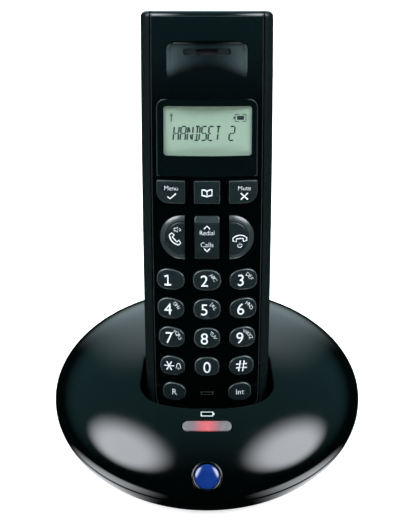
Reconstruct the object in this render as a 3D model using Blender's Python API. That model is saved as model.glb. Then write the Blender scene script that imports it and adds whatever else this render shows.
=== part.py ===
"""Cordless phone standing in its round charging base.

Units in this file are millimetres, turned into metres by MM. The origin is the centre of the
base on the surface it stands on, +Z is up and the phone faces -Y. The handset is modelled
upright in its own frame, face towards -Y with the middle of its face on y = 0, and an empty
leans that frame back into the base.
"""

from math import atan2, cos, pi, radians, sin, sqrt

import bmesh
import bpy
from mathutils import Matrix, Vector

MM = 0.001
GAP = 0.3                    # clearance between neighbouring pieces

# --- Charging base -------------------------------------------------------------------------
BASE_RADIUS = 61.46          # at the widest line
WIDEST_Z = 10.44
APEX_Z = 32.36               # where the dome would peak above the handset well
DOME_POWER = 1.9             # superellipse exponent of the dome's profile
FOOT_RADIUS = 52.5           # where the tucked-under side meets the ground
SEAM_Z = 9.2                 # joint between the cover and the bottom shell
COVER_WALL = 2.2
SHELL_WALL = 2.0
UNDERSIDE_Z = 0.8            # the shell stands this far off the ground, on its feet
BASE_SEGMENTS = 48

RIM_HALF_WIDTH = 25.8        # plan outline of the well in front of the handset
RIM_DEPTH = 14.7
RIM_CENTRE_Y = -16.0
RIM_POWER = 2.45
RIM_BACK_Y = -6.0
RIM_BACK_HALF_WIDTH = 24.5
WELL_LEDGE_Z = 16.5          # floor of the open part in front of the handset
WELL_WALL = 1.8
WELL_CLEARANCE = 0.9

LIGHT_BAR_Y = -38.5
LIGHT_BAR_HALF_LENGTH = 9.3
LIGHT_BAR_HALF_WIDTH = 2.2
BADGE_Y = -56.5
BADGE_RADIUS = 5.6
BADGE_LENS_RADIUS = 4.6
PAGE_BUTTON_Y = 50.0
PAGE_BUTTON_RADIUS = 5.0
BASE_SCREWS = [(36.0, 28.0), (-36.0, 28.0), (36.0, -28.0), (-36.0, -28.0)]
FEET = {"foot_front_left": (-28.0, -40.0), "foot_front_right": (28.0, -40.0),
        "foot_rear_left": (-26.5, 41.0), "foot_rear_right": (26.5, 41.0)}
FOOT_PAD_RADIUS = 5.0

POCKET_HALF_WIDTH = 20.0     # cable pocket under the rear of the base
POCKET_Y = (22.0, 45.0)
POCKET_TOP = 12.0
POCKET_WALL = 1.6
SOCKET_X = 10.0
SOCKET_FACE_Y = 34.0
CHANNEL_HALF_WIDTH = 2.5
CHANNEL_TOP = 5.5

# --- Handset -------------------------------------------------------------------------------
LEAN = radians(24.06)        # backward lean in the base
FACE_FOOT_Y = -32.0          # where the line down the middle of the face meets the ground
TOP_Z = 174.3
BOTTOM_Z = 17.5
HALF_WIDTH = 24.77
WIDEST_PART_Z = 133.0        # the sides are slightly barrel shaped
BARREL = 0.67 / 90.0 ** 2
FACE_RADIUS = 60.0           # crown across the face
SIDE_STRIP = 3.75            # the rear housing's rim beside the front panel
SIDE_Y = 9.5                 # depth of the widest line behind the face
THICKNESS = 24.5
FOOT_TAPER = 5.5             # thinner towards the foot
TAPER_START_Z = 80.0
BACK_POWER = 2.6
TOP_EDGE_RADIUS = 2.0
BOTTOM_EDGE_RADIUS = 3.0
TOP_BACK_RADIUS = 8.0
PANEL_BACK_Y = 6.0           # how far the front panel's edge reaches into the rear housing
FRONT_WALL = 1.6
REAR_WALL = 1.8
WINDOW_WALL = 1.3

PANEL_BOTTOM_Z = 19.2
PANEL_TOP_Z = 178.0          # past the top, so the panel wraps over it
WINDOW = (-18.85, 18.85, 113.65, 142.3)
WINDOW_CORNER = 3.2
SCOOP_HALF_WIDTH = 14.9
SCOOP_Z = (149.2, 163.75)
SCOOP_DEPTH = 0.9
EARPIECE_SLOT = (-8.8, 8.8, 158.45, 160.8)
MICROPHONE_SLOT = (-2.4, 2.4, 28.7, 29.7)

KEY_GAP = 0.35
KEY_FOOT_Y = (5.3, 6.0)      # retaining flange under the front panel
KEY_PROUD = 0.8
ROW_Z = [74.2, 62.9, 51.5, 40.1, 29.7]
ROW_SIDE_X = [13.9, 13.85, 13.6, 13.3, 12.7]
ROW_SIZE = [(10.6, 8.0), (10.3, 7.95), (9.95, 7.95), (9.5, 7.5), (8.9, 7.1)]
ROW_KEYS = [("key_1", "key_2", "key_3"), ("key_4", "key_5", "key_6"),
            ("key_7", "key_8", "key_9"), ("key_star", "key_0", "key_hash"),
            ("key_recall", None, "key_intercom")]
KEY_POWER = 2.5
KEY_SLOPE = 0.16             # the side keys' upper edges fall towards the middle
KEY_POINTS = 18
SOFT_KEY_Z = (103.55, 112.1)
SOFT_KEY_X = (8.3, 19.0)
SOFT_KEY_MIDDLE = 4.8
SOFT_KEY_CORNER = 4.5
CALL_KEY_Z = 90.5
CALL_KEY_STRAIGHT_X = 8.4
CALL_KEY_CENTRE_X = 9.5
CALL_KEY_RADIUS = 8.4
CALL_KEY_BEVEL = 2.35
NAVIGATION_KEY = (-4.7, 4.7, 82.2, 98.8)
NAVIGATION_PIVOT_Y = 3.5

MEMBRANE_Y = (7.0, 8.0)
BOARD_Y = (8.3, 9.6)
SCREW_X, SCREW_Z = 15.5, 150.0
TRAY_FLOOR_Y = (10.2, 11.4)
TRAY_OUTER = (-16.8, 16.8, 60.8, 121.2)
TRAY_INNER = (-12.2, 12.2, 65.0, 117.0)
COVER_OPENING = (-15.3, 15.3, 62.2, 119.8)
COVER_LEDGE_Y = 20.5
BATTERY_RADIUS = 5.25        # AAA cell
BATTERY_Z = (68.8, 113.3)
BATTERY_X, BATTERY_Y = 5.6, 17.0
CONTACT_X, CONTACT_Y = 9.0, 10.0
CONTACT_Z = 18.4             # recessed in the handset's foot
RINGER_Z = 140.0
EARPIECE_Z = 159.5


# --- Finishes ------------------------------------------------------------------------------
FINISHES = {
    # name: (colour, roughness, metallic)
    "gloss_black": ((0.008, 0.012, 0.013), 0.12, 0.0),
    "panel_black": ((0.004, 0.006, 0.007), 0.08, 0.0),
    "key_black": ((0.014, 0.022, 0.024), 0.25, 0.0),
    "window": ((0.010, 0.012, 0.012), 0.04, 0.0),
    "lcd": ((0.352, 0.462, 0.366), 0.45, 0.0),
    "rubber": ((0.030, 0.030, 0.032), 0.85, 0.0),
    "board": ((0.020, 0.150, 0.060), 0.50, 0.0),
    "speaker": ((0.060, 0.060, 0.065), 0.55, 0.0),
    "contact": ((0.780, 0.620, 0.300), 0.28, 1.0),
    "steel": ((0.550, 0.560, 0.580), 0.30, 1.0),
    "battery": ((0.050, 0.230, 0.110), 0.35, 0.0),
    "light_bar": ((0.620, 0.320, 0.330), 0.30, 0.0),
    "badge": ((0.020, 0.070, 0.260), 0.08, 0.0),
    "socket": ((0.040, 0.040, 0.045), 0.40, 0.0),
}


def finish(piece, name):
    colour, roughness, metallic = FINISHES[name]
    material = bpy.data.materials.new(f"{piece}_{name}")
    material.use_nodes = True
    shader = material.node_tree.nodes["Principled BSDF"]
    shader.inputs["Base Color"].default_value = (*colour, 1.0)
    shader.inputs["Roughness"].default_value = roughness
    shader.inputs["Metallic"].default_value = metallic
    return material


# --- Mesh helpers --------------------------------------------------------------------------
def mesh_object(name, points, faces, finish_name=None, parent=None, smooth_angle=35.0):
    """A closed mesh from millimetre points. Without a finish it is a cutter."""
    mesh = bpy.data.meshes.new(name)
    bm = bmesh.new()
    verts = [bm.verts.new(Vector(p) * MM) for p in points]
    for face in faces:
        bm.faces.new([verts[i] for i in face])
    bmesh.ops.recalc_face_normals(bm, faces=bm.faces)
    bm.to_mesh(mesh)
    bm.free()
    mesh.shade_smooth()
    mesh.set_sharp_from_angle(angle=radians(smooth_angle))
    thing = bpy.data.objects.new(name, mesh)
    bpy.context.collection.objects.link(thing)
    thing.parent = parent
    if finish_name:
        mesh.materials.append(finish(name, finish_name))
    else:
        thing.hide_render = True
        thing.display_type = "WIRE"
    return thing


def move_origin(thing, spot):
    """Puts a piece's origin on its joint's axis and leaves its shape where it is."""
    thing.data.transform(Matrix.Translation(-Vector(spot) * MM))
    thing.location = Vector(spot) * MM


def loft(name, rings, finish_name=None, parent=None):
    """Closed skin over rings of equal length, with flat caps."""
    count = len(rings[0])
    points = [p for ring in rings for p in ring]
    faces = [list(range(count)), list(range(len(points) - count, len(points)))]
    for level in range(len(rings) - 1):
        low, high = level * count, (level + 1) * count
        for i in range(count):
            j = (i + 1) % count
            faces.append([low + i, low + j, high + j, high + i])
    return mesh_object(name, points, faces, finish_name, parent)


def turned(name, profile, finish_name=None, parent=None, segments=20):
    """Solid of revolution about the piece's own Z, from (radius, height) pairs."""
    rings = []
    for radius, height in profile:
        angles = [2.0 * pi * i / segments for i in range(segments)]
        rings.append([(radius * cos(a), radius * sin(a), height) for a in angles])
    return loft(name, rings, finish_name, parent)


def slab(name, outline, y_front, y_back, finish_name=None, parent=None):
    """An (x, z) outline carried from one depth to another."""
    rings = [[(x, y, z) for x, z in outline] for y in (y_front, y_back)]
    return loft(name, rings, finish_name, parent)


def block(name, low, high, finish_name=None, parent=None):
    corners = [(low[0], low[2]), (high[0], low[2]), (high[0], high[2]), (low[0], high[2])]
    return slab(name, corners, low[1], high[1], finish_name, parent)


def boolean(target, operation, *cutters):
    for cutter in cutters:
        modifier = target.modifiers.new(f"{operation.lower()}_{cutter.name}", "BOOLEAN")
        modifier.operation = operation
        modifier.solver = "EXACT"
        modifier.object = cutter


def rounded_box(box, radii, steps=4, inset=0.0):
    """(x, z) outline of a box with its own radius at each corner: low left, low right,
    high right, high left."""
    x0, x1, z0, z1 = box[0] + inset, box[1] - inset, box[2] + inset, box[3] - inset
    corners = [(x0, z0, 1, 1, pi), (x1, z0, -1, 1, 1.5 * pi),
               (x1, z1, -1, -1, 0.0), (x0, z1, 1, -1, 0.5 * pi)]
    points = []
    for (x, z, to_x, to_z, start), radius in zip(corners, radii):
        r = max(radius - inset, 0.05)
        count = steps if radius > 1.0 else 1
        for i in range(count + 1):
            a = start + 0.5 * pi * i / count
            points.append((x + to_x * r + r * cos(a), z + to_z * r + r * sin(a)))
    return points


def superellipse(half_width, half_height, power, count):
    points = []
    for i in range(count):
        a = 2.0 * pi * i / count
        c, s = cos(a), sin(a)
        size = (abs(c) ** power + abs(s) ** power) ** (-1.0 / power)
        points.append((half_width * size * c, half_height * size * s))
    return points


def box_outline(box, inset=0.0):
    return [(box[0] + inset, box[2] + inset), (box[1] - inset, box[2] + inset),
            (box[1] - inset, box[3] - inset), (box[0] + inset, box[3] - inset)]


# --- Shared shapes -------------------------------------------------------------------------
def dome_height(radius, inset=0.0):
    """Height of the dome's skin, or of a skin the inset below it, at a plan radius."""
    reach = min(radius / (BASE_RADIUS - inset), 1.0)
    rise = APEX_Z - inset - WIDEST_Z
    return WIDEST_Z + rise * (1.0 - reach ** DOME_POWER) ** (1.0 / DOME_POWER)


def tuck_radius(z, inset=0.0):
    """Plan radius of the side that tucks under the widest line."""
    drop = min((WIDEST_Z - z) / WIDEST_Z, 1.0)
    return FOOT_RADIUS + (BASE_RADIUS - FOOT_RADIUS) * sqrt(1.0 - drop ** 2) - inset


def dome_profile(inset, count):
    """(radius, height) pairs from the apex down to the widest line."""
    reach = BASE_RADIUS - inset
    pairs = [(0.4, dome_height(0.4, inset))]
    for i in range(1, count + 1):
        radius = reach * sin(0.5 * pi * i / count)
        pairs.append((radius, dome_height(radius, inset)))
    return pairs


def dome_placement(y):
    """Turns a piece's own Z onto the dome's outward normal at (0, y)."""
    step = 0.01
    slope = (dome_height(abs(y) + step) - dome_height(abs(y) - step)) / (2.0 * step)
    side = 1.0 if y > 0.0 else -1.0
    tilt = atan2(-slope, 1.0) * -side
    spot = Vector((0.0, y, dome_height(abs(y)))) * MM
    return Matrix.Translation(spot) @ Matrix.Rotation(tilt, 4, "X")


def half_width(z):
    return HALF_WIDTH - BARREL * (z - WIDEST_PART_Z) ** 2


def face_depth(x):
    """How far the crowned face lies behind its middle line."""
    return x * x / (2.0 * FACE_RADIUS)


def back_depth(z, inset=0.0):
    centre_z = TOP_Z - TOP_BACK_RADIUS
    if z > centre_z:
        radius = TOP_BACK_RADIUS - inset
        arc = sqrt(max(radius ** 2 - (z - centre_z) ** 2, 0.0))
        return THICKNESS - TOP_BACK_RADIUS + arc
    low = max(TAPER_START_Z - z, 0.0) / (TAPER_START_Z - BOTTOM_Z)
    return THICKNESS - FOOT_TAPER * low ** 2 - inset


def handset_section(z, inset, end_inset):
    """Closed cross-section at a height: crowned face, turned-in sides and rounded back."""
    wide = half_width(z) - inset - end_inset
    edge = half_width(z) - SIDE_STRIP - 0.4 * inset - end_inset
    front = inset + end_inset
    back = back_depth(z, inset) - SIDE_Y
    if z < TAPER_START_Z:
        back -= end_inset
    points = []
    face_steps, side_steps, back_steps = 12, 3, 14
    for i in range(face_steps + 1):
        x = -edge + 2.0 * edge * i / face_steps
        points.append((x, front + face_depth(x)))
    edge_y = front + face_depth(edge)
    side = []
    for i in range(1, side_steps + 1):
        a = 0.5 * pi * i / side_steps
        side.append((edge + (wide - edge) * sin(a), SIDE_Y - (SIDE_Y - edge_y) * cos(a)))
    points += side
    for i in range(1, back_steps):
        a = pi * i / back_steps
        c, s = cos(a), sin(a)
        size = (abs(c) ** BACK_POWER + abs(s) ** BACK_POWER) ** (-1.0 / BACK_POWER)
        points.append((wide * size * c, SIDE_Y + back * size * s))
    points += [(-x, y) for x, y in reversed(side)]
    return [(x, y, z) for x, y in points]


def handset_solid(name, inset, finish_name=None, parent=None):
    """The handset's outer form, or the same form shrunk (or grown) by an inset."""
    low, high = BOTTOM_Z + inset, TOP_Z - inset
    low_radius = max(BOTTOM_EDGE_RADIUS - inset, 0.6)
    high_radius = max(TOP_EDGE_RADIUS - inset, 0.4)
    stations = []
    for i in range(4):
        a = 0.5 * pi * i / 3
        stations.append((low + low_radius * (1.0 - cos(a)), low_radius * (1.0 - sin(a))))
    stations += [(z, 0.0) for z in (36.0, 54.0, TAPER_START_Z, 106.0, 136.0)]
    arc_start = TOP_Z - TOP_BACK_RADIUS
    stations += [(arc_start, 0.0), (arc_start + 3.5, 0.0)]
    for i in range(4):
        a = 0.5 * pi * i / 3
        stations.append((high - high_radius * (1.0 - sin(a)), high_radius * (1.0 - cos(a))))
    rings = [handset_section(z, inset, end_inset) for z, end_inset in stations]
    return loft(name, rings, finish_name, parent)


def panel_outline(inset):
    """Outline of the front panel: rounded low corners and barrel sides up past the top."""
    def edge(z):
        return half_width(z) - SIDE_STRIP - inset

    low, corner_radius, steps = PANEL_BOTTOM_Z + inset, 8.0, 4
    right = []
    for i in range(steps + 1):
        a = 0.5 * pi * i / steps
        z = low + corner_radius * (1.0 - cos(a))
        right.append((edge(low + corner_radius) - corner_radius * (1.0 - sin(a)), z))
    right += [(edge(z), z) for z in (55.0, 85.0, 115.0, 145.0, PANEL_TOP_Z)]
    return right + [(-x, z) for x, z in reversed(right)]


# --- Key outlines, each about its own place on the face --------------------------------------
def number_key_outline(row, column, inset):
    width, height = ROW_SIZE[row]
    x, z = column * ROW_SIDE_X[row], ROW_Z[row]
    points = []
    for px, pz in superellipse(0.5 * width - inset, 0.5 * height - inset, KEY_POWER, KEY_POINTS):
        if pz > 0.0:
            inward = -column * px / (0.5 * width)
            pz *= 1.0 - KEY_SLOPE * max(inward, -0.3)
        points.append((x + px, z + pz))
    return points


def soft_key_outline(column, inset):
    if column == 0:
        box = (-SOFT_KEY_MIDDLE, SOFT_KEY_MIDDLE, *SOFT_KEY_Z)
        return rounded_box(box, (0.5, 0.5, 0.5, 0.5), inset=inset)
    near, far = SOFT_KEY_X
    if column < 0:
        return rounded_box((-far, -near, *SOFT_KEY_Z), (SOFT_KEY_CORNER, 0.5, 0.5, 0.8), inset=inset)
    return rounded_box((near, far, *SOFT_KEY_Z), (0.5, SOFT_KEY_CORNER, 0.8, 0.5), inset=inset)


def call_key_outline(column, inset, straight_inset=None):
    """D shape with its straight side towards the middle of the handset."""
    flat = inset if straight_inset is None else straight_inset
    radius = CALL_KEY_RADIUS - inset
    steps = 12
    points = [(CALL_KEY_STRAIGHT_X + flat, -radius)]
    for i in range(steps + 1):
        a = -0.5 * pi + pi * i / steps
        points.append((CALL_KEY_CENTRE_X + radius * cos(a), radius * sin(a)))
    points.append((CALL_KEY_STRAIGHT_X + flat, radius))
    return [(column * x, CALL_KEY_Z + z) for x, z in points]


def navigation_key_outline(inset):
    return rounded_box(NAVIGATION_KEY, (0.8, 0.8, 0.8, 0.8), inset=inset)


def key(name, outline, bevel, frame):
    """A key cap: retaining flange, stem through the panel and a bevelled crown.

    outline(inset) gives the key's outline, and the cap follows the crown of the face."""
    def ring(inset, depth=None, above=0.0):
        points = outline(inset)
        return [(x, face_depth(x) - above if depth is None else depth, z) for x, z in points]

    rings = [ring(-0.8, KEY_FOOT_Y[1]), ring(-0.8, KEY_FOOT_Y[0]), ring(0.0, KEY_FOOT_Y[0]),
             ring(0.0, above=0.1), ring(bevel, above=KEY_PROUD)]
    return loft(name, rings, "key_black", frame)


# --- Handset pieces ------------------------------------------------------------------------
def key_outlines():
    """Name to (outline function, bevel width) for every key."""
    outlines = {}
    for row, names in enumerate(ROW_KEYS):
        for column, name in zip((-1, 0, 1), names):
            if name:
                outlines[name] = (lambda d, r=row, c=column: number_key_outline(r, c, d), 0.8)
    for column, name in ((-1, "key_menu"), (0, "key_phonebook"), (1, "key_mute")):
        outlines[name] = (lambda d, c=column: soft_key_outline(c, d), 0.45)
    for column, name in ((-1, "key_call"), (1, "key_end")):
        outlines[name] = (lambda d, c=column: call_key_outline(c, d, min(d, 0.3)), CALL_KEY_BEVEL)
    outlines["key_navigation"] = (navigation_key_outline, 0.6)
    return outlines


def front_housing(frame, outlines):
    """Crowned front panel with its key holes, window opening and earpiece scoop."""
    housing = handset_solid("handset_front_housing", 0.0, "panel_black", frame)
    boolean(housing, "INTERSECT", slab("cut_panel", panel_outline(0.0), -4.0, PANEL_BACK_Y, None, frame))
    hollow = handset_solid("cut_front_hollow", FRONT_WALL, None, frame)
    boolean(housing, "DIFFERENCE", hollow)
    boolean(housing, "UNION", *screw_columns("cut_front_boss", 2.6, 3.0, 10.2, frame))
    for name, (outline, _) in outlines.items():
        hole = slab(f"cut_{name}", outline(-KEY_GAP), -4.0, 7.0, None, frame)
        boolean(housing, "DIFFERENCE", hole)
    window = rounded_box(WINDOW, (0.5, 0.5, WINDOW_CORNER, WINDOW_CORNER), inset=-GAP)
    boolean(housing, "DIFFERENCE", slab("cut_window", window, -4.0, 7.0, None, frame))
    boolean(housing, "DIFFERENCE", scoop_cutter(frame))
    for name, slot in (("cut_ear_slot", EARPIECE_SLOT), ("cut_mic_slot", MICROPHONE_SLOT)):
        outline = rounded_box(slot, (0.45,) * 4)
        boolean(housing, "DIFFERENCE", slab(name, outline, -4.0, 4.0, None, frame))
    pilots = screw_columns("cut_front_pilot", 1.5, 4.2, 11.0, frame)
    boolean(housing, "DIFFERENCE", *pilots)
    return housing


def screw_columns(name, radius, y_front, y_back, frame):
    """A pair of columns along the two housing screws."""
    columns = []
    for side, tag in ((-1, "left"), (1, "right")):
        column = turned(f"{name}_{tag}", [(radius, y_front), (radius, y_back)], None, frame, 12)
        column.location = Vector((side * SCREW_X, 0.0, SCREW_Z)) * MM
        column.rotation_euler = (-0.5 * pi, 0.0, 0.0)
        columns.append(column)
    return columns


def scoop_cutter(frame):
    """Dish over the earpiece, deepest under its upper edge and fading out downwards. Its
    floor follows the crown of the face."""
    low, high = SCOOP_Z
    middle, reach = 0.5 * (low + high), 0.5 * (high - low)
    levels, floor_steps = 8, 8
    rings = []
    for i in range(levels + 1):
        share = 0.5 - 0.49 * cos(pi * i / levels)
        z = low + (high - low) * share
        wide = SCOOP_HALF_WIDTH * (1.0 - abs((z - middle) / reach) ** 3.4) ** (1.0 / 3.4)
        floor = []
        for j in range(floor_steps + 1):
            x = wide * (2.0 * j / floor_steps - 1.0)
            floor.append((x, face_depth(x) + (SCOOP_DEPTH + 0.25) * share - 0.25, z))
        rings.append(floor + [(wide, -3.0, z), (-wide, -3.0, z)])
    return loft("cut_scoop", rings, None, frame)


def rear_housing(frame):
    """Tub with the battery tray, the cover's opening, vents and the foot's contact holes."""
    housing = handset_solid("handset_rear_housing", 0.0, "gloss_black", frame)
    hollow = handset_solid("cut_rear_hollow", REAR_WALL, None, frame)
    tray = slab("cut_tray_outer", box_outline(TRAY_OUTER), TRAY_FLOOR_Y[0], 30.0, None, frame)
    boolean(hollow, "DIFFERENCE", tray, *screw_columns("cut_rear_boss", 3.6, 10.6, 26.0, frame))
    boolean(housing, "DIFFERENCE", hollow)
    mouth = slab("cut_mouth", panel_outline(-GAP), -4.0, PANEL_BACK_Y + GAP, None, frame)
    inside = slab("cut_tray", box_outline(TRAY_INNER), TRAY_FLOOR_Y[1], 30.0, None, frame)
    opening = slab("cut_cover", box_outline(COVER_OPENING), COVER_LEDGE_Y, 30.0, None, frame)
    boolean(housing, "DIFFERENCE", mouth, inside, opening)
    boolean(housing, "DIFFERENCE", *screw_columns("cut_rear_shank", 1.6, 9.0, 26.0, frame))
    boolean(housing, "DIFFERENCE", *screw_columns("cut_rear_head", 3.0, 18.6, 26.0, frame))
    for i in (-1, 0, 1):
        vent = rounded_box((-6.0, 6.0, RINGER_Z + 3.0 * i - 0.6, RINGER_Z + 3.0 * i + 0.6), (0.5,) * 4)
        boolean(housing, "DIFFERENCE", slab(f"cut_vent_{i + 2}", vent, 21.0, 30.0, None, frame))
    for side, tag in ((-1, "left"), (1, "right")):
        recess = turned(f"cut_contact_{tag}", [(2.1, 10.0), (2.1, 24.0)], None, frame, 14)
        recess.location = Vector((side * CONTACT_X, CONTACT_Y, 0.0)) * MM
        boolean(housing, "DIFFERENCE", recess)
    return housing


def battery_cover(frame):
    cover = handset_solid("battery_cover", 0.0, "gloss_black", frame)
    outline = box_outline(COVER_OPENING, GAP)
    boolean(cover, "INTERSECT", slab("cut_cover_outline", outline, COVER_LEDGE_Y - 1.0, 30.0, None, frame))
    boolean(cover, "DIFFERENCE", handset_solid("cut_cover_hollow", REAR_WALL - 0.3, None, frame))
    return cover


def display(frame):
    window = handset_solid("display_window", 0.0, "window", frame)
    outline = rounded_box(WINDOW, (0.5, 0.5, WINDOW_CORNER, WINDOW_CORNER))
    boolean(window, "INTERSECT", slab("cut_lens_outline", outline, -4.0, SIDE_Y, None, frame))
    boolean(window, "DIFFERENCE", handset_solid("cut_lens_hollow", WINDOW_WALL, None, frame))
    block("lcd_module", (-17.9, 5.0, 118.0), (17.9, 7.9, 141.6), "lcd", frame)


def board_and_membrane(frame):
    outline = rounded_box((-18.6, 18.6, 24.0, 168.5), (4.0, 4.0, 3.0, 3.0))
    board = slab("handset_circuit_board", outline, *BOARD_Y, "board", frame)
    boolean(board, "DIFFERENCE", *screw_columns("cut_board", 3.0, 7.0, 11.0, frame))
    sheet = rounded_box((-19.9, 19.9, 24.5, 113.2), (5.0, 5.0, 1.5, 1.5))
    slab("keypad_membrane", sheet, *MEMBRANE_Y, "rubber", frame)


def facing_back(thing, x, z):
    """Puts a turned piece's own Z along the depth of the handset."""
    thing.location = Vector((x, 0.0, z)) * MM
    thing.rotation_euler = (-0.5 * pi, 0.0, 0.0)


def sound_pieces(frame):
    earpiece = [(7.0, 3.6), (9.5, 4.6), (9.5, 6.4), (5.5, 6.4), (5.5, 7.9)]
    facing_back(turned("earpiece_speaker", earpiece, "speaker", frame, 24), 0.0, EARPIECE_Z)
    capsule = [(2.4, 3.2), (3.0, 3.7), (3.0, 6.6)]
    facing_back(turned("microphone", capsule, "speaker", frame, 16), 0.0, 29.2)
    ringer = [(6.0, 13.5), (6.0, 15.0), (10.0, 15.0), (10.0, 18.0), (8.0, 19.5)]
    facing_back(turned("ringer_speaker", ringer, "speaker", frame, 24), 0.0, RINGER_Z)


def batteries(frame):
    low, high = BATTERY_Z
    r = BATTERY_RADIUS
    cell = [(4.4, low), (4.4, low + 0.4), (r, low + 0.4), (r, high - 1.2), (1.9, high - 1.2),
            (1.9, high)]
    for side, name in ((-1, "battery_left"), (1, "battery_right")):
        thing = turned(name, cell, "battery", frame, 20)
        thing.location = Vector((side * BATTERY_X, BATTERY_Y, 0.0)) * MM
    for name, z, tip in (("battery_contact_lower", 65.4, 68.4), ("battery_contact_upper", 116.0, 113.7)):
        plate = block(name, (-11.4, 12.4, z), (11.4, 21.0, z + 0.6), "contact", frame)
        for side, tag in ((-1, "left"), (1, "right")):
            spring = [(3.2, z + 0.3), (1.8, tip)]
            cone = turned(f"cut_{name}_{tag}", spring, None, frame, 12)
            cone.location = Vector((side * BATTERY_X, BATTERY_Y, 0.0)) * MM
            boolean(plate, "UNION", cone)


def handset_hardware(frame):
    for side, tag in ((-1, "left"), (1, "right")):
        screw = turned(f"handset_screw_{tag}", [(1.1, 5.0), (1.1, 18.7), (2.6, 18.9), (2.6, 20.4)],
                       "steel", frame, 14)
        facing_back(screw, side * SCREW_X, SCREW_Z)
        pad = [(1.7, CONTACT_Z), (1.7, 21.0), (2.9, 21.0), (2.9, 22.4)]
        contact = turned(f"handset_contact_{tag}", pad, "contact", frame, 14)
        contact.location = Vector((side * CONTACT_X, CONTACT_Y, 0.0)) * MM


# --- Base pieces ---------------------------------------------------------------------------
def rim_outline(grow):
    """Plan outline of the open part of the well, as (x, y)."""
    points = []
    steps = 16
    for i in range(steps + 1):
        a = pi + pi * i / steps
        c, s = cos(a), sin(a)
        size = (abs(c) ** RIM_POWER + abs(s) ** RIM_POWER) ** (-1.0 / RIM_POWER)
        points.append(((RIM_HALF_WIDTH + grow) * size * c,
                       RIM_CENTRE_Y + (RIM_DEPTH + grow) * size * s))
    back = RIM_BACK_HALF_WIDTH + grow
    return points + [(back, RIM_BACK_Y + grow), (-back, RIM_BACK_Y + grow)]


def well_cutter(name, grow, frame):
    """The space for the handset's foot, joined to the open part in front of it."""
    socket = handset_solid(name, -WELL_CLEARANCE - grow, None, frame)
    low = WELL_LEDGE_Z - grow
    rings = [[(x, y, z) for x, y in rim_outline(grow)] for z in (low, APEX_Z + 4.0)]
    boolean(socket, "UNION", loft(f"{name}_ledge", rings))
    return socket


def base_cover(frame):
    """Dome with the well hanging in it. A plug under the seam leaves room for the well's
    lower corner, and the hollow takes the rest of the plug away."""
    lip = SEAM_Z + 0.2
    profile = dome_profile(0.0, 10)
    profile += [(tuck_radius(lip), lip), (58.5, lip), (58.5, 4.8), (0.4, 4.8)]
    cover = turned("base_top_cover", profile, "gloss_black", None, BASE_SEGMENTS)
    inner = dome_profile(COVER_WALL, 7)
    inner += [(BASE_RADIUS - COVER_WALL, 4.0), (0.4, 4.0)]
    hollow = turned("cut_dome_hollow", inner, None, None, BASE_SEGMENTS)
    for i, (x, y) in enumerate(BASE_SCREWS):
        boss = turned(f"cut_cover_boss_{i}", [(3.6, 11.0), (3.6, 34.0)], None, None, 12)
        boss.location = Vector((x, y, 0.0)) * MM
        boolean(hollow, "DIFFERENCE", boss)
    boolean(hollow, "DIFFERENCE", well_cutter("cut_well_outside", WELL_WALL, frame))
    boolean(cover, "DIFFERENCE", hollow)
    boolean(cover, "DIFFERENCE", well_cutter("cut_well", 0.0, frame))
    for i, (x, y) in enumerate(BASE_SCREWS):
        pilot = turned(f"cut_cover_pilot_{i}", [(1.7, 8.0), (1.7, 20.5)], None, None, 12)
        pilot.location = Vector((x, y, 0.0)) * MM
        boolean(cover, "DIFFERENCE", pilot)
    for side, tag in ((-1, "left"), (1, "right")):
        hole = turned(f"cut_pin_{tag}", [(1.9, 8.0), (1.9, 18.5)], None, frame, 14)
        hole.location = Vector((side * CONTACT_X, CONTACT_Y, 0.0)) * MM
        boolean(cover, "DIFFERENCE", hole)
    bar_slot = light_bar_solid("cut_light_bar", -GAP, (-4.0, 4.0))
    badge_pocket = turned("cut_badge", [(BADGE_RADIUS + GAP, -1.4), (BADGE_RADIUS + GAP, 4.0)])
    badge_pocket.matrix_world = dome_placement(BADGE_Y)
    button_hole = turned("cut_page_button", [(PAGE_BUTTON_RADIUS + GAP, -6.0), (PAGE_BUTTON_RADIUS + GAP, 4.0)])
    button_hole.matrix_world = dome_placement(PAGE_BUTTON_Y)
    boolean(cover, "DIFFERENCE", bar_slot, badge_pocket, button_hole)
    return cover


def light_bar_solid(name, inset, heights, finish_name=None):
    """Stadium-shaped bar standing along the dome's normal."""
    box = (-LIGHT_BAR_HALF_LENGTH, LIGHT_BAR_HALF_LENGTH, -LIGHT_BAR_HALF_WIDTH, LIGHT_BAR_HALF_WIDTH)
    outline = rounded_box(box, (LIGHT_BAR_HALF_WIDTH - 0.05,) * 4, inset=inset)
    rings = [[(x, y, z) for x, y in outline] for z in heights]
    bar = loft(name, rings, finish_name)
    bar.matrix_world = dome_placement(LIGHT_BAR_Y)
    return bar


def base_trim():
    """Charge light bar with its light pipe, and the plain round badge."""
    bar = light_bar_solid("charge_light_bar", 0.0, (-3.6, 0.15), "light_bar")
    pipe = block("cut_light_pipe", (-2.0, LIGHT_BAR_Y - 1.0, 10.0), (2.0, LIGHT_BAR_Y + 1.5, 25.5))
    boolean(bar, "UNION", pipe)
    place = dome_placement(BADGE_Y)
    inner = BADGE_LENS_RADIUS + GAP
    ring = turned("badge_ring", [(BADGE_RADIUS, -1.1), (BADGE_RADIUS, 0.25)], "steel", None, 28)
    bore = turned("cut_ring_bore", [(inner, -3.0), (inner, 3.0)], None, None, 28)
    boolean(ring, "DIFFERENCE", bore)
    ring.matrix_world = place
    bore.matrix_world = place
    r = BADGE_LENS_RADIUS
    lens = turned("badge_lens", [(r, -1.1), (r, 0.1), (0.75 * r, 0.75), (0.4 * r, 1.05), (0.1, 1.15)],
                  "badge", None, 28)
    lens.matrix_world = place


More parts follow.
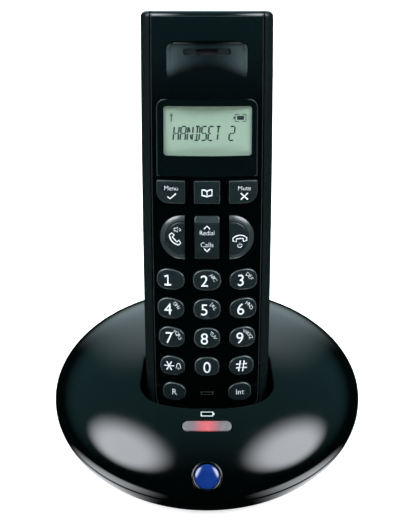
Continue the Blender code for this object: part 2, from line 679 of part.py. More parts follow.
def page_button():
    r = PAGE_BUTTON_RADIUS
    profile = [(r + 1.2, -5.6), (r + 1.2, -4.6), (r, -4.6), (r, 0.4), (r - 0.8, 0.9), (0.5, 1.0)]
    button = turned("page_button", profile, "key_black", None, 24)
    button.matrix_world = dome_placement(PAGE_BUTTON_Y)


def bottom_shell():
    """Dish with the cable pocket, two cable channels, screw bosses and foot recesses."""
    rim = SEAM_Z - 0.2
    outside = [(0.4, UNDERSIDE_Z)]
    for z in (UNDERSIDE_Z, 2.2, 4.2, 6.6, rim):
        outside.append((tuck_radius(z), z))
    outside += [(0.4, rim)]
    shell = turned("base_bottom_shell", outside, "gloss_black", None, BASE_SEGMENTS)
    floor = UNDERSIDE_Z + SHELL_WALL
    inside = [(0.4, floor), (tuck_radius(floor, SHELL_WALL), floor)]
    for z in (5.0, rim - 0.6):
        inside.append((tuck_radius(z, SHELL_WALL), z))
    inside += [(tuck_radius(rim, SHELL_WALL), rim + 3.0), (0.4, rim + 3.0)]
    boolean(shell, "DIFFERENCE", turned("cut_shell_hollow", inside, None, None, BASE_SEGMENTS))
    embed = UNDERSIDE_Z + 0.7
    y0, y1 = POCKET_Y
    wall, half = POCKET_WALL, POCKET_HALF_WIDTH
    boolean(shell, "UNION", block("cut_pocket_walls", (-half - wall, y0 - wall, embed),
                                  (half + wall, y1 + wall, POCKET_TOP + wall)))
    for side, tag in ((-1, "left"), (1, "right")):
        x = side * SOCKET_X
        wide = CHANNEL_HALF_WIDTH + wall
        boolean(shell, "UNION", block(f"cut_channel_walls_{tag}", (x - wide, y1, embed + 0.05),
                                      (x + wide, 54.4, CHANNEL_TOP + wall)))
    for i, (x, y) in enumerate(BASE_SCREWS):
        boss = turned(f"cut_shell_boss_{i}", [(5.0, embed), (5.0, 10.6)], None, None, 16)
        boss.location = Vector((x, y, 0.0)) * MM
        boolean(shell, "UNION", boss)
    boolean(shell, "DIFFERENCE", block("cut_pocket", (-half, y0, -2.0), (half, y1, POCKET_TOP)))
    for side, tag in ((-1, "left"), (1, "right")):
        x = side * SOCKET_X
        channel = block(f"cut_channel_{tag}", (x - CHANNEL_HALF_WIDTH, y1 - 1.0, -2.0),
                        (x + CHANNEL_HALF_WIDTH, 64.0, CHANNEL_TOP))
        boolean(shell, "DIFFERENCE", channel)
    for i, (x, y) in enumerate(BASE_SCREWS):
        bore = turned(f"cut_shell_bore_{i}", [(3.4, -2.0), (3.4, 4.2), (1.7, 4.2), (1.7, 12.0)],
                      None, None, 16)
        bore.location = Vector((x, y, 0.0)) * MM
        boolean(shell, "DIFFERENCE", bore)
    for name, (x, y) in FEET.items():
        recess = turned(f"cut_{name}", [(FOOT_PAD_RADIUS + GAP, -2.0), (FOOT_PAD_RADIUS + GAP, 1.7)],
                        None, None, 20)
        recess.location = Vector((x, y, 0.0)) * MM
        boolean(shell, "DIFFERENCE", recess)


def feet_and_screws():
    for name, (x, y) in FEET.items():
        r = FOOT_PAD_RADIUS
        pad = turned(name, [(r - 0.3, 0.0), (r, 0.4), (r, 1.4)], "rubber", None, 20)
        pad.location = Vector((x, y, 0.0)) * MM
    for i, (x, y) in enumerate(BASE_SCREWS):
        profile = [(3.0, 2.2), (3.0, 3.8), (1.2, 3.9), (1.2, 19.0)]
        screw = turned(f"base_screw_{i + 1}", profile, "steel", None, 16)
        screw.location = Vector((x, y, 0.0)) * MM


def base_electronics(frame):
    """Board, charge LED, line and power sockets, and the two sprung charging pins."""
    outline = []
    steps = 18
    for i in range(steps + 1):
        a = pi + pi * i / steps
        outline.append((44.0 * cos(a), 44.0 * sin(a)))
    outline += [(30.0, 18.0), (-30.0, 18.0)]
    rings = [[(x, y, z) for x, y in outline] for z in (3.6, 5.0)]
    board = loft("base_circuit_board", rings, "board")
    for i, (x, y) in enumerate(BASE_SCREWS):
        notch = turned(f"cut_board_notch_{i}", [(5.6, 2.0), (5.6, 7.0)], None, None, 16)
        notch.location = Vector((x, y, 0.0)) * MM
        if y < 0.0:
            boolean(board, "DIFFERENCE", notch)
    led = turned("charge_led", [(1.5, 5.3), (1.5, 8.6), (0.9, 9.5)], "light_bar", None, 14)
    led.location = Vector((0.0, LIGHT_BAR_Y + 0.2, 0.0)) * MM
    for name, x, reach in (("line_socket", -SOCKET_X, 4.9), ("power_socket", SOCKET_X, 3.9)):
        body = block(name, (x - 6.5, POCKET_Y[0] + 0.4, 2.0), (x + 6.5, SOCKET_FACE_Y, 11.5), "socket")
        mouth = block(f"cut_{name}", (x - reach, SOCKET_FACE_Y - 10.0, 3.4),
                      (x + reach, SOCKET_FACE_Y + 2.0, 10.0))
        boolean(body, "DIFFERENCE", mouth)
    for side, tag in ((-1, "left"), (1, "right")):
        profile = [(2.6, 12.8), (2.6, 13.8), (1.5, 13.8), (1.5, 17.5), (0.9, 18.05)]
        pin = turned(f"charging_pin_{tag}", profile, "contact", frame, 14)
        pin.location = Vector((side * CONTACT_X, CONTACT_Y, 0.0)) * MM


# --- Assembly ------------------------------------------------------------------------------
def main():
    for thing in list(bpy.data.objects):
        bpy.data.objects.remove(thing)
    frame = bpy.data.objects.new("handset_frame", None)
    bpy.context.collection.objects.link(frame)
    frame.location = Vector((0.0, FACE_FOOT_Y, 0.0)) * MM
    frame.rotation_euler = (-LEAN, 0.0, 0.0)
    bpy.context.view_layer.update()

    outlines = key_outlines()
    front_housing(frame, outlines)
    rear_housing(frame)
    battery_cover(frame)
    display(frame)
    board_and_membrane(frame)
    sound_pieces(frame)
    batteries(frame)
    handset_hardware(frame)
    for name, (outline, bevel) in outlines.items():
        key(name, outline, bevel, frame)
    move_origin(bpy.data.objects["key_navigation"], (0.0, NAVIGATION_PIVOT_Y, CALL_KEY_Z))

    base_cover(frame)
    bottom_shell()
    base_trim()
    page_button()
    feet_and_screws()
    base_electronics(frame)


main()
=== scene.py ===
"""Looks of the cordless phone with base: fine surfaces, finishes, legends, light and camera
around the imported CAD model.

Lengths are in millimetres unless a name ends in _M; MM turns them into Blender's metres.
The handset's pieces are modelled upright in its own frame (x across, y into the handset, z up)
and leaned back by HANDSET.
"""

from math import atan2, cos, hypot, pi, radians, sin, sqrt

import bmesh
import bpy
from mathutils import Matrix, Vector
from mathutils.bvhtree import BVHTree


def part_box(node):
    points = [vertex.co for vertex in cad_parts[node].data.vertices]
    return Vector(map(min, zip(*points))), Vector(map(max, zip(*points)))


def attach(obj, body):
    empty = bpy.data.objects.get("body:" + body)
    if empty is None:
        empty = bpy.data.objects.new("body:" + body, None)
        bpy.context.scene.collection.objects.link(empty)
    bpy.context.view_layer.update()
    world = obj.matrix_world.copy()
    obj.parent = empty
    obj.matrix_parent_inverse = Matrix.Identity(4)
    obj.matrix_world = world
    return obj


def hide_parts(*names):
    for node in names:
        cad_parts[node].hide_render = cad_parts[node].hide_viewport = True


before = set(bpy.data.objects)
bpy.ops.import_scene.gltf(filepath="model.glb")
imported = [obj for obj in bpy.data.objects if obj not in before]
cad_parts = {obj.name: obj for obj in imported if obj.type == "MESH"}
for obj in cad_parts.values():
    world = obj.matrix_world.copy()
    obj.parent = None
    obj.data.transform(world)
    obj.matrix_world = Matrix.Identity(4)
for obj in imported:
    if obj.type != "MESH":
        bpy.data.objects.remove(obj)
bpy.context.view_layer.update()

MM = 0.001

# --- Sizes that the CAD model also has -----------------------------------------------------
BASE_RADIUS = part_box("base_top_cover")[1].x / MM
WIDEST_Z = 10.44
APEX_Z = 32.36
DOME_POWER = 1.9
FOOT_RADIUS = 52.5
SEAM_Z = 9.2
COVER_WALL = 2.2
UNDERSIDE_Z = 0.8
RIM_HALF_WIDTH = 25.8
RIM_DEPTH = 14.7
RIM_CENTRE_Y = -16.0
RIM_POWER = 2.45
RIM_BACK_Y = -6.0
RIM_BACK_HALF_WIDTH = 24.5
WELL_LEDGE_Z = 16.5
WELL_CLEARANCE = 0.9
LIGHT_BAR_Y = -38.5
LIGHT_BAR = (-9.3, 9.3, -2.2, 2.2)
BADGE_Y = -56.5
BADGE_RADIUS = 5.6
BADGE_LENS_RADIUS = 4.6
PAGE_BUTTON_Y = 50.0
PAGE_BUTTON_RADIUS = 5.0
SOCKET_X = 10.0
CHANNEL_HALF_WIDTH = 2.5
CHANNEL_TOP = 5.5

LEAN = radians(24.06)
FACE_FOOT_Y = -32.0
TOP_Z = 174.3
BOTTOM_Z = 17.5
HALF_WIDTH = 24.77
WIDEST_PART_Z = 133.0
BARREL = 0.67 / 90.0 ** 2
FACE_RADIUS = 60.0
SIDE_STRIP = 3.75
SIDE_Y = 9.5
THICKNESS = 24.5
FOOT_TAPER = 5.5
TAPER_START_Z = 80.0
BACK_POWER = 2.6
TOP_EDGE_RADIUS = 2.0
BOTTOM_EDGE_RADIUS = 3.0
TOP_BACK_RADIUS = 8.0
PANEL_BACK_Y = 6.0
PANEL_BOTTOM_Z = 19.2
PANEL_TOP_Z = 178.0
REAR_WALL = 1.8
GAP = 0.3
WINDOW = (-18.85, 18.85, 113.65, 142.3)
WINDOW_RADII = (0.5, 0.5, 3.2, 3.2)
SCOOP_HALF_WIDTH = 14.9
SCOOP_Z = (149.2, 163.75)
EARPIECE_SLOT = (-8.8, 8.8, 158.45, 160.8)
MICROPHONE_SLOT = (-2.4, 2.4, 28.7, 29.7)
KEY_GAP = 0.35
KEY_PROUD = 0.8
ROW_Z = [74.2, 62.9, 51.5, 40.1, 29.7]
ROW_SIDE_X = [13.9, 13.85, 13.6, 13.3, 12.7]
ROW_SIZE = [(10.6, 8.0), (10.3, 7.95), (9.95, 7.95), (9.5, 7.5), (8.9, 7.1)]
ROW_KEYS = [("key_1", "key_2", "key_3"), ("key_4", "key_5", "key_6"),
            ("key_7", "key_8", "key_9"), ("key_star", "key_0", "key_hash"),
            ("key_recall", None, "key_intercom")]
KEY_POWER = 2.5
KEY_SLOPE = 0.16
SOFT_KEY_Z = (103.55, 112.1)
SOFT_KEY_X = (8.3, 19.0)
SOFT_KEY_MIDDLE = 4.8
SOFT_KEY_CORNER = 4.5
CALL_KEY_Z = 90.5
CALL_KEY_STRAIGHT_X = 8.4
CALL_KEY_CENTRE_X = 9.5
CALL_KEY_RADIUS = 8.4
NAVIGATION_KEY = (-4.7, 4.7, 82.2, 98.8)
SCREW_X, SCREW_Z = 15.5, 150.0
TRAY_FLOOR_Y = (10.2, 11.4)
TRAY_OUTER = (-16.8, 16.8, 60.8, 121.2)
TRAY_INNER = (-12.2, 12.2, 65.0, 117.0)
COVER_OPENING = (-15.3, 15.3, 62.2, 119.8)
COVER_LEDGE_Y = 20.5
CONTACT_X, CONTACT_Y = 9.0, 10.0
RINGER_Z = 140.0

# --- Details that only the visual model has ------------------------------------------------
PANEL_WALL = 2.6             # thick enough for the full depth of the scoop
SCOOP_DEPTH = 1.85           # under the scoop's upper edge
SCOOP_ARCH = 3.4             # rise of the scoop's lower boundary at its middle
GROOVE = 0.15                # the panel's edge stands this much back, for a visible groove
RIM_FILLET = 0.7             # where the dome turns down into the well
LCD_Y = 3.0
LCD_HOLE = (-16.2, 16.7, 121.4, 139.8)
KEY_FILLET = 0.5
SOFT_KEY_FILLET = 0.28
KEY_STEM_Y = 5.6             # where the caps end behind the panel
DISH_SHARES = (0.85, 0.65, 0.45, 0.25, 0.02)     # rings that close a cap to its middle
CUT_FRONT_Y, CUT_BACK_Y = -4.0, 9.0              # in front of the face, and behind the panel
CUT_BEHIND_Y = 30.0                              # behind the handset's back
WELL_MIDDLE_Y = -10.0        # plan rays for the cover's grid start here
WELL_RAYS = 192
DOME_CUT_TOP = 4.0           # cutters through the dome end this high above it
BADGE_DEPTH = 1.1            # how far the badge goes down into the dome
BATTERY_SYMBOL_Y = -33.6
ABOVE_BASE_Z = 60.0          # where rays down onto the base start
LCD_GLASS = (-17.6, 17.6, 118.2, 141.4)
LCD_BACK_Y = 7.9
RIB_PITCH, RIB_HALF_WIDTH, RIB_COUNT = 0.55, 0.16, 8
INK = 0.05                   # how far printing stands on the surface below it

HANDSET = Matrix.Translation((0.0, FACE_FOOT_Y * MM, 0.0)) @ Matrix.Rotation(-LEAN, 4, "X")
UPRIGHT = Matrix.Identity(4)
SOFTBOX_DISTANCE_M = 1.2


# --- Finishes ------------------------------------------------------------------------------
def new_material(name):
    material = bpy.data.materials.new(name)
    material.use_nodes = True
    tree = material.node_tree
    tree.nodes.clear()
    output = tree.nodes.new("ShaderNodeOutputMaterial")
    return material, tree, output


def noise(tree, size, detail=2.0):
    """A noise whose features are about the given size across, fixed to the piece."""
    place = tree.nodes.new("ShaderNodeTexCoord")
    texture = tree.nodes.new("ShaderNodeTexNoise")
    texture.inputs["Scale"].default_value = 1.0 / (size * MM)
    texture.inputs["Detail"].default_value = detail
    tree.links.new(place.outputs["Object"], texture.inputs["Vector"])
    return texture.outputs["Fac"]


def ranged(tree, value, source, target, smooth=False):
    """The value moved from one range to another."""
    node = tree.nodes.new("ShaderNodeMapRange")
    if smooth:
        node.interpolation_type = "SMOOTHSTEP"
    node.inputs["From Min"].default_value, node.inputs["From Max"].default_value = source
    node.inputs["To Min"].default_value, node.inputs["To Max"].default_value = target
    tree.links.new(value, node.inputs["Value"])
    return node.outputs["Result"]


def mixed_colour(tree, share, first, second):
    node = tree.nodes.new("ShaderNodeMix")
    node.data_type = "RGBA"
    for socket, colour in ((node.inputs[6], first), (node.inputs[7], second)):
        if isinstance(colour, tuple):
            socket.default_value = (*colour, 1.0)
        else:
            tree.links.new(colour, socket)
    tree.links.new(share, node.inputs[0])
    return node.outputs[2]


def calculated(tree, operation, first, second=None):
    """A math node's result; the second operand is a number or another node's output."""
    node = tree.nodes.new("ShaderNodeMath")
    node.operation = operation
    tree.links.new(first, node.inputs[0])
    if isinstance(second, float):
        node.inputs[1].default_value = second
    elif second is not None:
        tree.links.new(second, node.inputs[1])
    return node.outputs[0]


def product_of(tree, first, second):
    return calculated(tree, "MULTIPLY", first, second)


def axes(tree, space="Object"):
    """The X, Y and Z of a place on the piece or, with "Generated", of a direction."""
    place = tree.nodes.new("ShaderNodeTexCoord")
    parts = tree.nodes.new("ShaderNodeSeparateXYZ")
    tree.links.new(place.outputs[space], parts.inputs["Vector"])
    return parts.outputs


def blend_surface(tree, share, first, second, output):
    """The surface goes from the first shader to the second by a share."""
    blend = tree.nodes.new("ShaderNodeMixShader")
    tree.links.new(share, blend.inputs[0])
    tree.links.new(first.outputs[0], blend.inputs[1])
    tree.links.new(second.outputs[0], blend.inputs[2])
    tree.links.new(blend.outputs[0], output.inputs["Surface"])


def shader_of(material):
    return next(node for node in material.node_tree.nodes if node.type == "BSDF_PRINCIPLED")


def recolour(material, share, colour):
    """Lays another colour over the finish's own by a share."""
    tree = material.node_tree
    base = shader_of(material).inputs["Base Color"]
    own = base.links[0].from_socket
    tree.links.new(mixed_colour(tree, share, own, colour), base)


def finish_of(name, dark, light, roughness, drift=8.0, grain=0.25, relief=0.0, metallic=0.0,
              coat=0.0, specular=0.5):
    """A moulded, rubber or metal finish: colour and roughness drift over the piece between two
    values, and a fine grain stands out in relief."""
    material, tree, output = new_material(name)
    shader = tree.nodes.new("ShaderNodeBsdfPrincipled")
    tree.links.new(shader.outputs["BSDF"], output.inputs["Surface"])
    cloud = noise(tree, drift)
    tree.links.new(mixed_colour(tree, cloud, dark, light), shader.inputs["Base Color"])
    rough = ranged(tree, noise(tree, 0.5 * drift, 4.0), (0.3, 0.7), roughness)
    tree.links.new(rough, shader.inputs["Roughness"])
    shader.inputs["Metallic"].default_value = metallic
    shader.inputs["Coat Weight"].default_value = coat
    shader.inputs["Specular IOR Level"].default_value = specular
    if relief:
        bump = tree.nodes.new("ShaderNodeBump")
        bump.inputs["Strength"].default_value = 0.4
        bump.inputs["Distance"].default_value = relief * MM
        tree.links.new(noise(tree, grain, 3.0), bump.inputs["Height"])
        tree.links.new(bump.outputs["Normal"], shader.inputs["Normal"])
    return material


def light_bar_finish():
    """Milky diffuser that glows red from a lamp under its middle, and whose colour is painted red
    towards the middle as a painted glow.
    """
    material = finish_of("light_bar_diffuser", (0.115, 0.108, 0.115), (0.15, 0.14, 0.148),
                         (0.18, 0.3), relief=0.004)
    tree, shader = material.node_tree, shader_of(material)
    away = calculated(tree, "ABSOLUTE", axes(tree)["X"])
    shader.inputs["Emission Color"].default_value = (1.0, 0.16, 0.17, 1.0)
    tree.links.new(ranged(tree, away, (0.0, 5.5 * MM), (0.26, 0.0), True),
                   shader.inputs["Emission Strength"])
    # Painted glow: the diffuser's colour turns red towards its middle, where the lamp's light shows.
    recolour(material, ranged(tree, away, (0.0, 7.0 * MM), (1.0, 0.0), True), (0.30, 0.07, 0.08))
    return material


def panel_finish():
    """Gloss black with a painted sheen: the colour is a shade lighter towards the top of the panel.
    """
    material = finish_of("panel_gloss_black_painted_sheen", (0.0002, 0.0005, 0.0005), (0.0003, 0.0009, 0.0009),
                         (0.10, 0.15), relief=0.0004)
    tree = material.node_tree
    # Painted sheen: the colour lightens towards the top of the panel.
    high = ranged(tree, axes(tree)["Z"], (130.0 * MM, 172.0 * MM), (0.0, 1.0), True)
    recolour(material, high, (0.0019, 0.0052, 0.0056))
    return material


def scoop_finish():
    """Floor of the earpiece scoop: a painted sheen that is lighter to both sides and fades out
    towards the arched lower boundary, and a painted shadow just under the upper edge."""
    material = finish_of("scoop_painted_sheen_black", (0.0002, 0.0005, 0.0005), (0.0003, 0.0009, 0.0009),
                         (0.16, 0.22), relief=0.0004)
    tree = material.node_tree
    place = axes(tree)
    across = calculated(tree, "DIVIDE", product_of(tree, place["X"], place["X"]),
                        (SCOOP_HALF_WIDTH * MM) ** 2)
    above = calculated(tree, "ADD", place["Z"], product_of(tree, across, SCOOP_ARCH * MM))
    start = (SCOOP_Z[0] + SCOOP_ARCH) * MM
    lit = ranged(tree, above, (start, start + 5.5 * MM), (0.0, 1.0), True)
    # Painted shadow: the sheen fades out just under the scoop's upper edge.
    shadow = ranged(tree, place["Z"], (162.0 * MM, 162.7 * MM), (1.0, 0.0), True)
    sheen = mixed_colour(tree, across, (0.004, 0.0085, 0.009), (0.038, 0.056, 0.058))
    recolour(material, product_of(tree, lit, shadow), sheen)
    return material


def lcd_finish():
    """Grey-green reflective glass with a faint glow in its own colour: painted light, as no lamp lies
    behind it.
    """
    material = finish_of("lcd_glass", (0.232, 0.330, 0.250), (0.246, 0.346, 0.263),
                         (0.6, 0.75), drift=5.0, grain=0.08, relief=0.002)
    shader = shader_of(material)
    colour = shader.inputs["Base Color"].links[0].from_socket
    # Painted light: the glass glows faintly in its own colour.
    material.node_tree.links.new(colour, shader.inputs["Emission Color"])
    shader.inputs["Emission Strength"].default_value = 0.08
    return material


def pane_finish():
    """Thin clear cover: clear straight on, mirror-like at a glance."""
    material, tree, output = new_material("window_pane")
    clear = tree.nodes.new("ShaderNodeBsdfTransparent")
    shine = tree.nodes.new("ShaderNodeBsdfGlossy")
    tree.links.new(ranged(tree, noise(tree, 6.0), (0.3, 0.7), (0.01, 0.03)),
                   shine.inputs["Roughness"])
    tilt = tree.nodes.new("ShaderNodeLayerWeight")
    tilt.inputs["Blend"].default_value = 0.5
    steep = calculated(tree, "POWER", tilt.outputs["Facing"], 5.0)
    blend_surface(tree, ranged(tree, steep, (0.0, 1.0), (0.02, 0.9)), clear, shine, output)
    return material


def make_finishes():
    return {
        "gloss_black": finish_of("shell_gloss_black", (0.0002, 0.0005, 0.0005),
                                 (0.0003, 0.0008, 0.0008), (0.07, 0.11), relief=0.0004),
        "rear_black": finish_of("shell_satin_black", (0.0033, 0.0061, 0.0063),
                                (0.0037, 0.0066, 0.0069), (0.25, 0.28), drift=30.0, specular=0.22),
        "panel_black": panel_finish(),
        "scoop": scoop_finish(),
        "surround": finish_of("window_surround_print", (0.0008, 0.0026, 0.0028),
                              (0.0013, 0.0034, 0.0036), (0.03, 0.06), relief=0.0004),
        "key_black": finish_of("key_satin_black", (0.0045, 0.0095, 0.0105),
                               (0.0065, 0.0130, 0.0140), (0.26, 0.34), grain=0.12, relief=0.003,
                               coat=0.6),
        # Painted highlight: a lighter colour for the fillets round the key tops and for the pip on
        # key 5.
        "key_rim": finish_of("key_rim_painted_highlight", (0.036, 0.050, 0.052), (0.050, 0.066, 0.068),
                             (0.2, 0.3), drift=3.0, relief=0.001),
        # Painted sheen: a lighter colour for the sloping rims of the call and end keys and the
        # rocker's upward facets; the earpiece ribs use it too.
        "key_slope": finish_of("key_slope_painted_sheen", (0.014, 0.022, 0.023), (0.019, 0.028, 0.029),
                               (0.26, 0.34), grain=0.12, relief=0.003, coat=0.6),
        # Partly painted highlight: the rods along edges catch real reflections, and this lighter
        # colour paints more of the bright line on them.
        "edge": finish_of("edge_painted_highlight", (0.020, 0.028, 0.029), (0.030, 0.038, 0.040),
                          (0.16, 0.24), drift=3.0, relief=0.001, metallic=0.3),
        "ink": finish_of("legend_white", (0.60, 0.66, 0.66), (0.68, 0.73, 0.73), (0.4, 0.6),
                         drift=1.0, grain=0.1, relief=0.004),
        "lcd": lcd_finish(),
        "segments": finish_of("lcd_segments", (0.006, 0.022, 0.020), (0.010, 0.030, 0.028),
                              (0.4, 0.5), drift=1.5, grain=0.1, relief=0.001),
        "rubber": finish_of("rubber_black", (0.012, 0.012, 0.013), (0.02, 0.02, 0.021),
                            (0.6, 0.8), grain=0.15, relief=0.03),
        "board": finish_of("solder_mask_green", (0.012, 0.10, 0.035), (0.02, 0.14, 0.05),
                           (0.3, 0.45), grain=0.3, relief=0.01),
        "speaker": finish_of("capsule_dark", (0.02, 0.02, 0.021), (0.03, 0.03, 0.032),
                             (0.4, 0.55), grain=0.2, relief=0.02),
        "contact": finish_of("gold_plate", (0.70, 0.50, 0.19), (0.78, 0.57, 0.24),
                             (0.15, 0.28), grain=0.2, relief=0.004, metallic=1.0),
        "steel": finish_of("zinc_plate", (0.42, 0.43, 0.45), (0.55, 0.56, 0.58),
                           (0.2, 0.35), grain=0.2, relief=0.006, metallic=1.0),
        "dark_trim": finish_of("dark_trim", (0.05, 0.052, 0.055), (0.075, 0.078, 0.082),
                               (0.12, 0.2), grain=0.2, relief=0.001, metallic=1.0),
        "battery": finish_of("battery_sleeve", (0.01, 0.15, 0.05), (0.015, 0.19, 0.07),
                             (0.2, 0.3), drift=12.0, relief=0.004),
        "badge": finish_of("badge_blue_glass", (0.003, 0.015, 0.10), (0.006, 0.028, 0.16),
                           (0.04, 0.08), drift=3.0, relief=0.0004, coat=0.5),
        "socket": finish_of("socket_nylon", (0.010, 0.011, 0.012), (0.016, 0.017, 0.018),
                            (0.4, 0.55), grain=0.2, relief=0.01),
        "light_bar": light_bar_finish(),
        "window": pane_finish(),
    }


# --- Mesh helpers --------------------------------------------------------------------------
def around(count):
    """(cos, sin) pairs round a full turn."""
    return [(cos(2.0 * pi * i / count), sin(2.0 * pi * i / count)) for i in range(count)]


def quarter(steps):
    """(sin, cos) pairs through a quarter turn, with both ends."""
    return [(sin(0.5 * pi * i / steps), cos(0.5 * pi * i / steps)) for i in range(steps + 1)]


def linked(name, data, placement=UPRIGHT):
    thing = bpy.data.objects.new(name, data)
    bpy.context.scene.collection.objects.link(thing)
    thing.matrix_world = placement
    return thing


def make_object(name, points, faces, placement=UPRIGHT):
    """An object of points in millimetres in the placement's own frame, with its faces
    turned outwards."""
    mesh = bpy.data.meshes.new(name)
    mesh.from_pydata([Vector(p) * MM for p in points], [], faces)
    work = bmesh.new()
    work.from_mesh(mesh)
    bmesh.ops.remove_doubles(work, verts=work.verts, dist=1e-7)
    bmesh.ops.recalc_face_normals(work, faces=work.faces)
    work.to_mesh(mesh)
    work.free()
    return linked(name, mesh, placement)


def loft(name, rings, placement=UPRIGHT, capped=True):
    """A body through closed rings with equal numbers of points."""
    count = len(rings[0])
    faces = []
    for row in range(len(rings) - 1):
        for i in range(count):
            after = (i + 1) % count
            low, high = row * count, (row + 1) * count
            faces.append((low + i, low + after, high + after, high + i))
    if capped:
        last = (len(rings) - 1) * count
        faces += [tuple(range(count)), tuple(range(last, last + count))]
    return make_object(name, [p for ring in rings for p in ring], faces, placement)


def slab(name, outline, y_front, y_back, placement=HANDSET):
    """A plate across the handset's depth, from an (x, z) outline."""
    return loft(name, [[(x, y, z) for x, z in outline] for y in (y_front, y_back)], placement)


def turned(name, profile, placement=UPRIGHT, segments=64):
    """A body of revolution about the placement's Z, from (radius, z) pairs."""
    rings = [[(r * c, r * s, z) for c, s in around(segments)] for r, z in profile]
    return loft(name, rings, placement)


def hoop(name, section, placement=UPRIGHT, segments=96):
    """A closed (radius, z) section carried round the placement's Z."""
    rings = [[(r * c, r * s, z) for r, z in section] for c, s in around(segments)]
    return loft(name, rings + rings[:1], placement, capped=False)


def column(name, x, z, radius, y_front, y_back):
    """A round column across the handset's depth at (x, z)."""
    return slab(name, [(x + radius * c, z + radius * s) for c, s in around(32)], y_front, y_back)


def front_cut(name, outline, back=CUT_BACK_Y):
    """A cutter from in front of the handset's face to the given depth."""
    return slab(name, outline, CUT_FRONT_Y, back)


def carve(target, operation, *cutters):
    """Joins, cuts or intersects the target with each cutter, and uses the cutters up."""
    for cutter in cutters:
        step = target.modifiers.new("carve", "BOOLEAN")
        step.operation = operation
        step.solver = "EXACT"
        step.object = cutter
    bpy.context.view_layer.update()
    shaped = target.evaluated_get(bpy.context.evaluated_depsgraph_get())
    mesh = bpy.data.meshes.new_from_object(shaped)
    target.modifiers.clear()
    target.data = mesh
    for cutter in cutters:
        bpy.data.objects.remove(cutter)


def shade(mesh, angle=35.0):
    mesh.shade_smooth()
    mesh.set_sharp_from_angle(angle=radians(angle))


class SmoothForm:
    """A smooth form's surface and normals, for the pieces that are cut from it."""

    def __init__(self, thing):
        mesh = thing.data
        shade(mesh)
        mesh.calc_loop_triangles()
        self.points = [v.co.copy() for v in mesh.vertices]
        self.triangles = [tuple(t.vertices) for t in mesh.loop_triangles]
        normals = [n.vector.copy() for n in mesh.corner_normals]
        self.normals = [[normals[i] for i in t.loops] for t in mesh.loop_triangles]
        self.tree = BVHTree.FromPolygons(self.points, self.triangles)

    def normal_at(self, point, facing):
        """The form's normal at a point of a face that looks along facing, or None."""
        reach, alike = 0.03 * MM, 0.85
        spot, flat, index, _ = self.tree.find_nearest(point, reach)
        if index is None or abs(flat.dot(facing)) < alike:
            return None
        a, b, c = (self.points[i] for i in self.triangles[index])
        whole = (b - a).cross(c - a)
        size = whole.length_squared
        if size < 1e-24:
            return None
        u = (c - b).cross(spot - b).dot(whole) / size
        v = (a - c).cross(spot - c).dot(whole) / size
        na, nb, nc = self.normals[index]
        normal = (na * u + nb * v + nc * (1.0 - u - v)).normalized()
        return normal if normal.dot(facing) > 0.0 else -normal


def shade_like(piece, forms):
    """Smooth shading that keeps the normals of the forms that the piece was cut from."""
    mesh = piece.data
    shade(mesh)
    normals = [n.vector.copy() for n in mesh.corner_normals]
    for face in mesh.polygons:
        for i in face.loop_indices:
            point = mesh.vertices[mesh.loops[i].vertex_index].co
            for form in forms:
                normal = form.normal_at(point, face.normal)
                if normal is not None:
                    normals[i] = normal
                    break
    mesh.normals_split_custom_set(normals)


def finish(piece, slot, body, *stands_for, look=None):
    """Gives a piece its finish and its body, and hides the CAD nodes that it stands for."""
    piece.data.materials.clear()
    piece.data.materials.append(FINISHES[look or slot])
    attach(piece, body)
    if stands_for:
        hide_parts(*stands_for)
    return piece


# --- Outlines ------------------------------------------------------------------------------
def rounded_box(box, radii, inset=0.0, steps=8):
    """(x, z) outline of a box, with one radius or the radii for its low left, low right, high
    right and high left corners."""
    if isinstance(radii, float):
        radii = (radii,) * 4
    x0, x1, z0, z1 = box[0] + inset, box[1] - inset, box[2] + inset, box[3] - inset
    corners = [(x0, z0, 1, 1, pi), (x1, z0, -1, 1, 1.5 * pi),
               (x1, z1, -1, -1, 0.0), (x0, z1, 1, -1, 0.5 * pi)]
    points = []
    for (x, z, to_x, to_z, start), radius in zip(corners, radii):
        r = max(radius - inset, 0.05)
        for i in range(steps + 1):
            a = start + 0.5 * pi * i / steps
            points.append((x + to_x * r + r * cos(a), z + to_z * r + r * sin(a)))
    return points


def superellipse(half_width, half_height, power, turn):
    """Points of a superellipse in the directions of a turn's (cos, sin) pairs."""
    points = []
    for c, s in turn:
        size = (abs(c) ** power + abs(s) ** power) ** (-1.0 / power)
        points.append((half_width * size * c, half_height * size * s))
    return points


def box_outline(box, inset=0.0):
    return [(box[0] + inset, box[2] + inset), (box[1] - inset, box[2] + inset),
            (box[1] - inset, box[3] - inset), (box[0] + inset, box[3] - inset)]


# --- The base's form -----------------------------------------------------------------------
def dome_height(radius, inset=0.0):
    reach = min(radius / (BASE_RADIUS - inset), 1.0)
    rise = APEX_Z - inset - WIDEST_Z
    return WIDEST_Z + rise * (1.0 - reach ** DOME_POWER) ** (1.0 / DOME_POWER)


def tuck_radius(z, inset=0.0):
    drop = min((WIDEST_Z - z) / WIDEST_Z, 1.0)
    return FOOT_RADIUS + (BASE_RADIUS - FOOT_RADIUS) * sqrt(1.0 - drop ** 2) - inset


def dome_placement(y):
    """Turns a piece's own Z onto the dome's outward normal at (0, y)."""
    step = 0.01
    slope = (dome_height(abs(y) + step) - dome_height(abs(y) - step)) / (2.0 * step)
    side = 1.0 if y > 0.0 else -1.0
    tilt = atan2(-slope, 1.0) * -side
    spot = Vector((0.0, y, dome_height(abs(y)))) * MM
    return Matrix.Translation(spot) @ Matrix.Rotation(tilt, 4, "X")


def dome_sag(x, y):
    """How far the dome falls away beside the middle line, measured along its normal there."""
    fall = dome_height(abs(y)) - dome_height(hypot(x, y))
    return fall * dome_placement(y).to_3x3().col[2].z


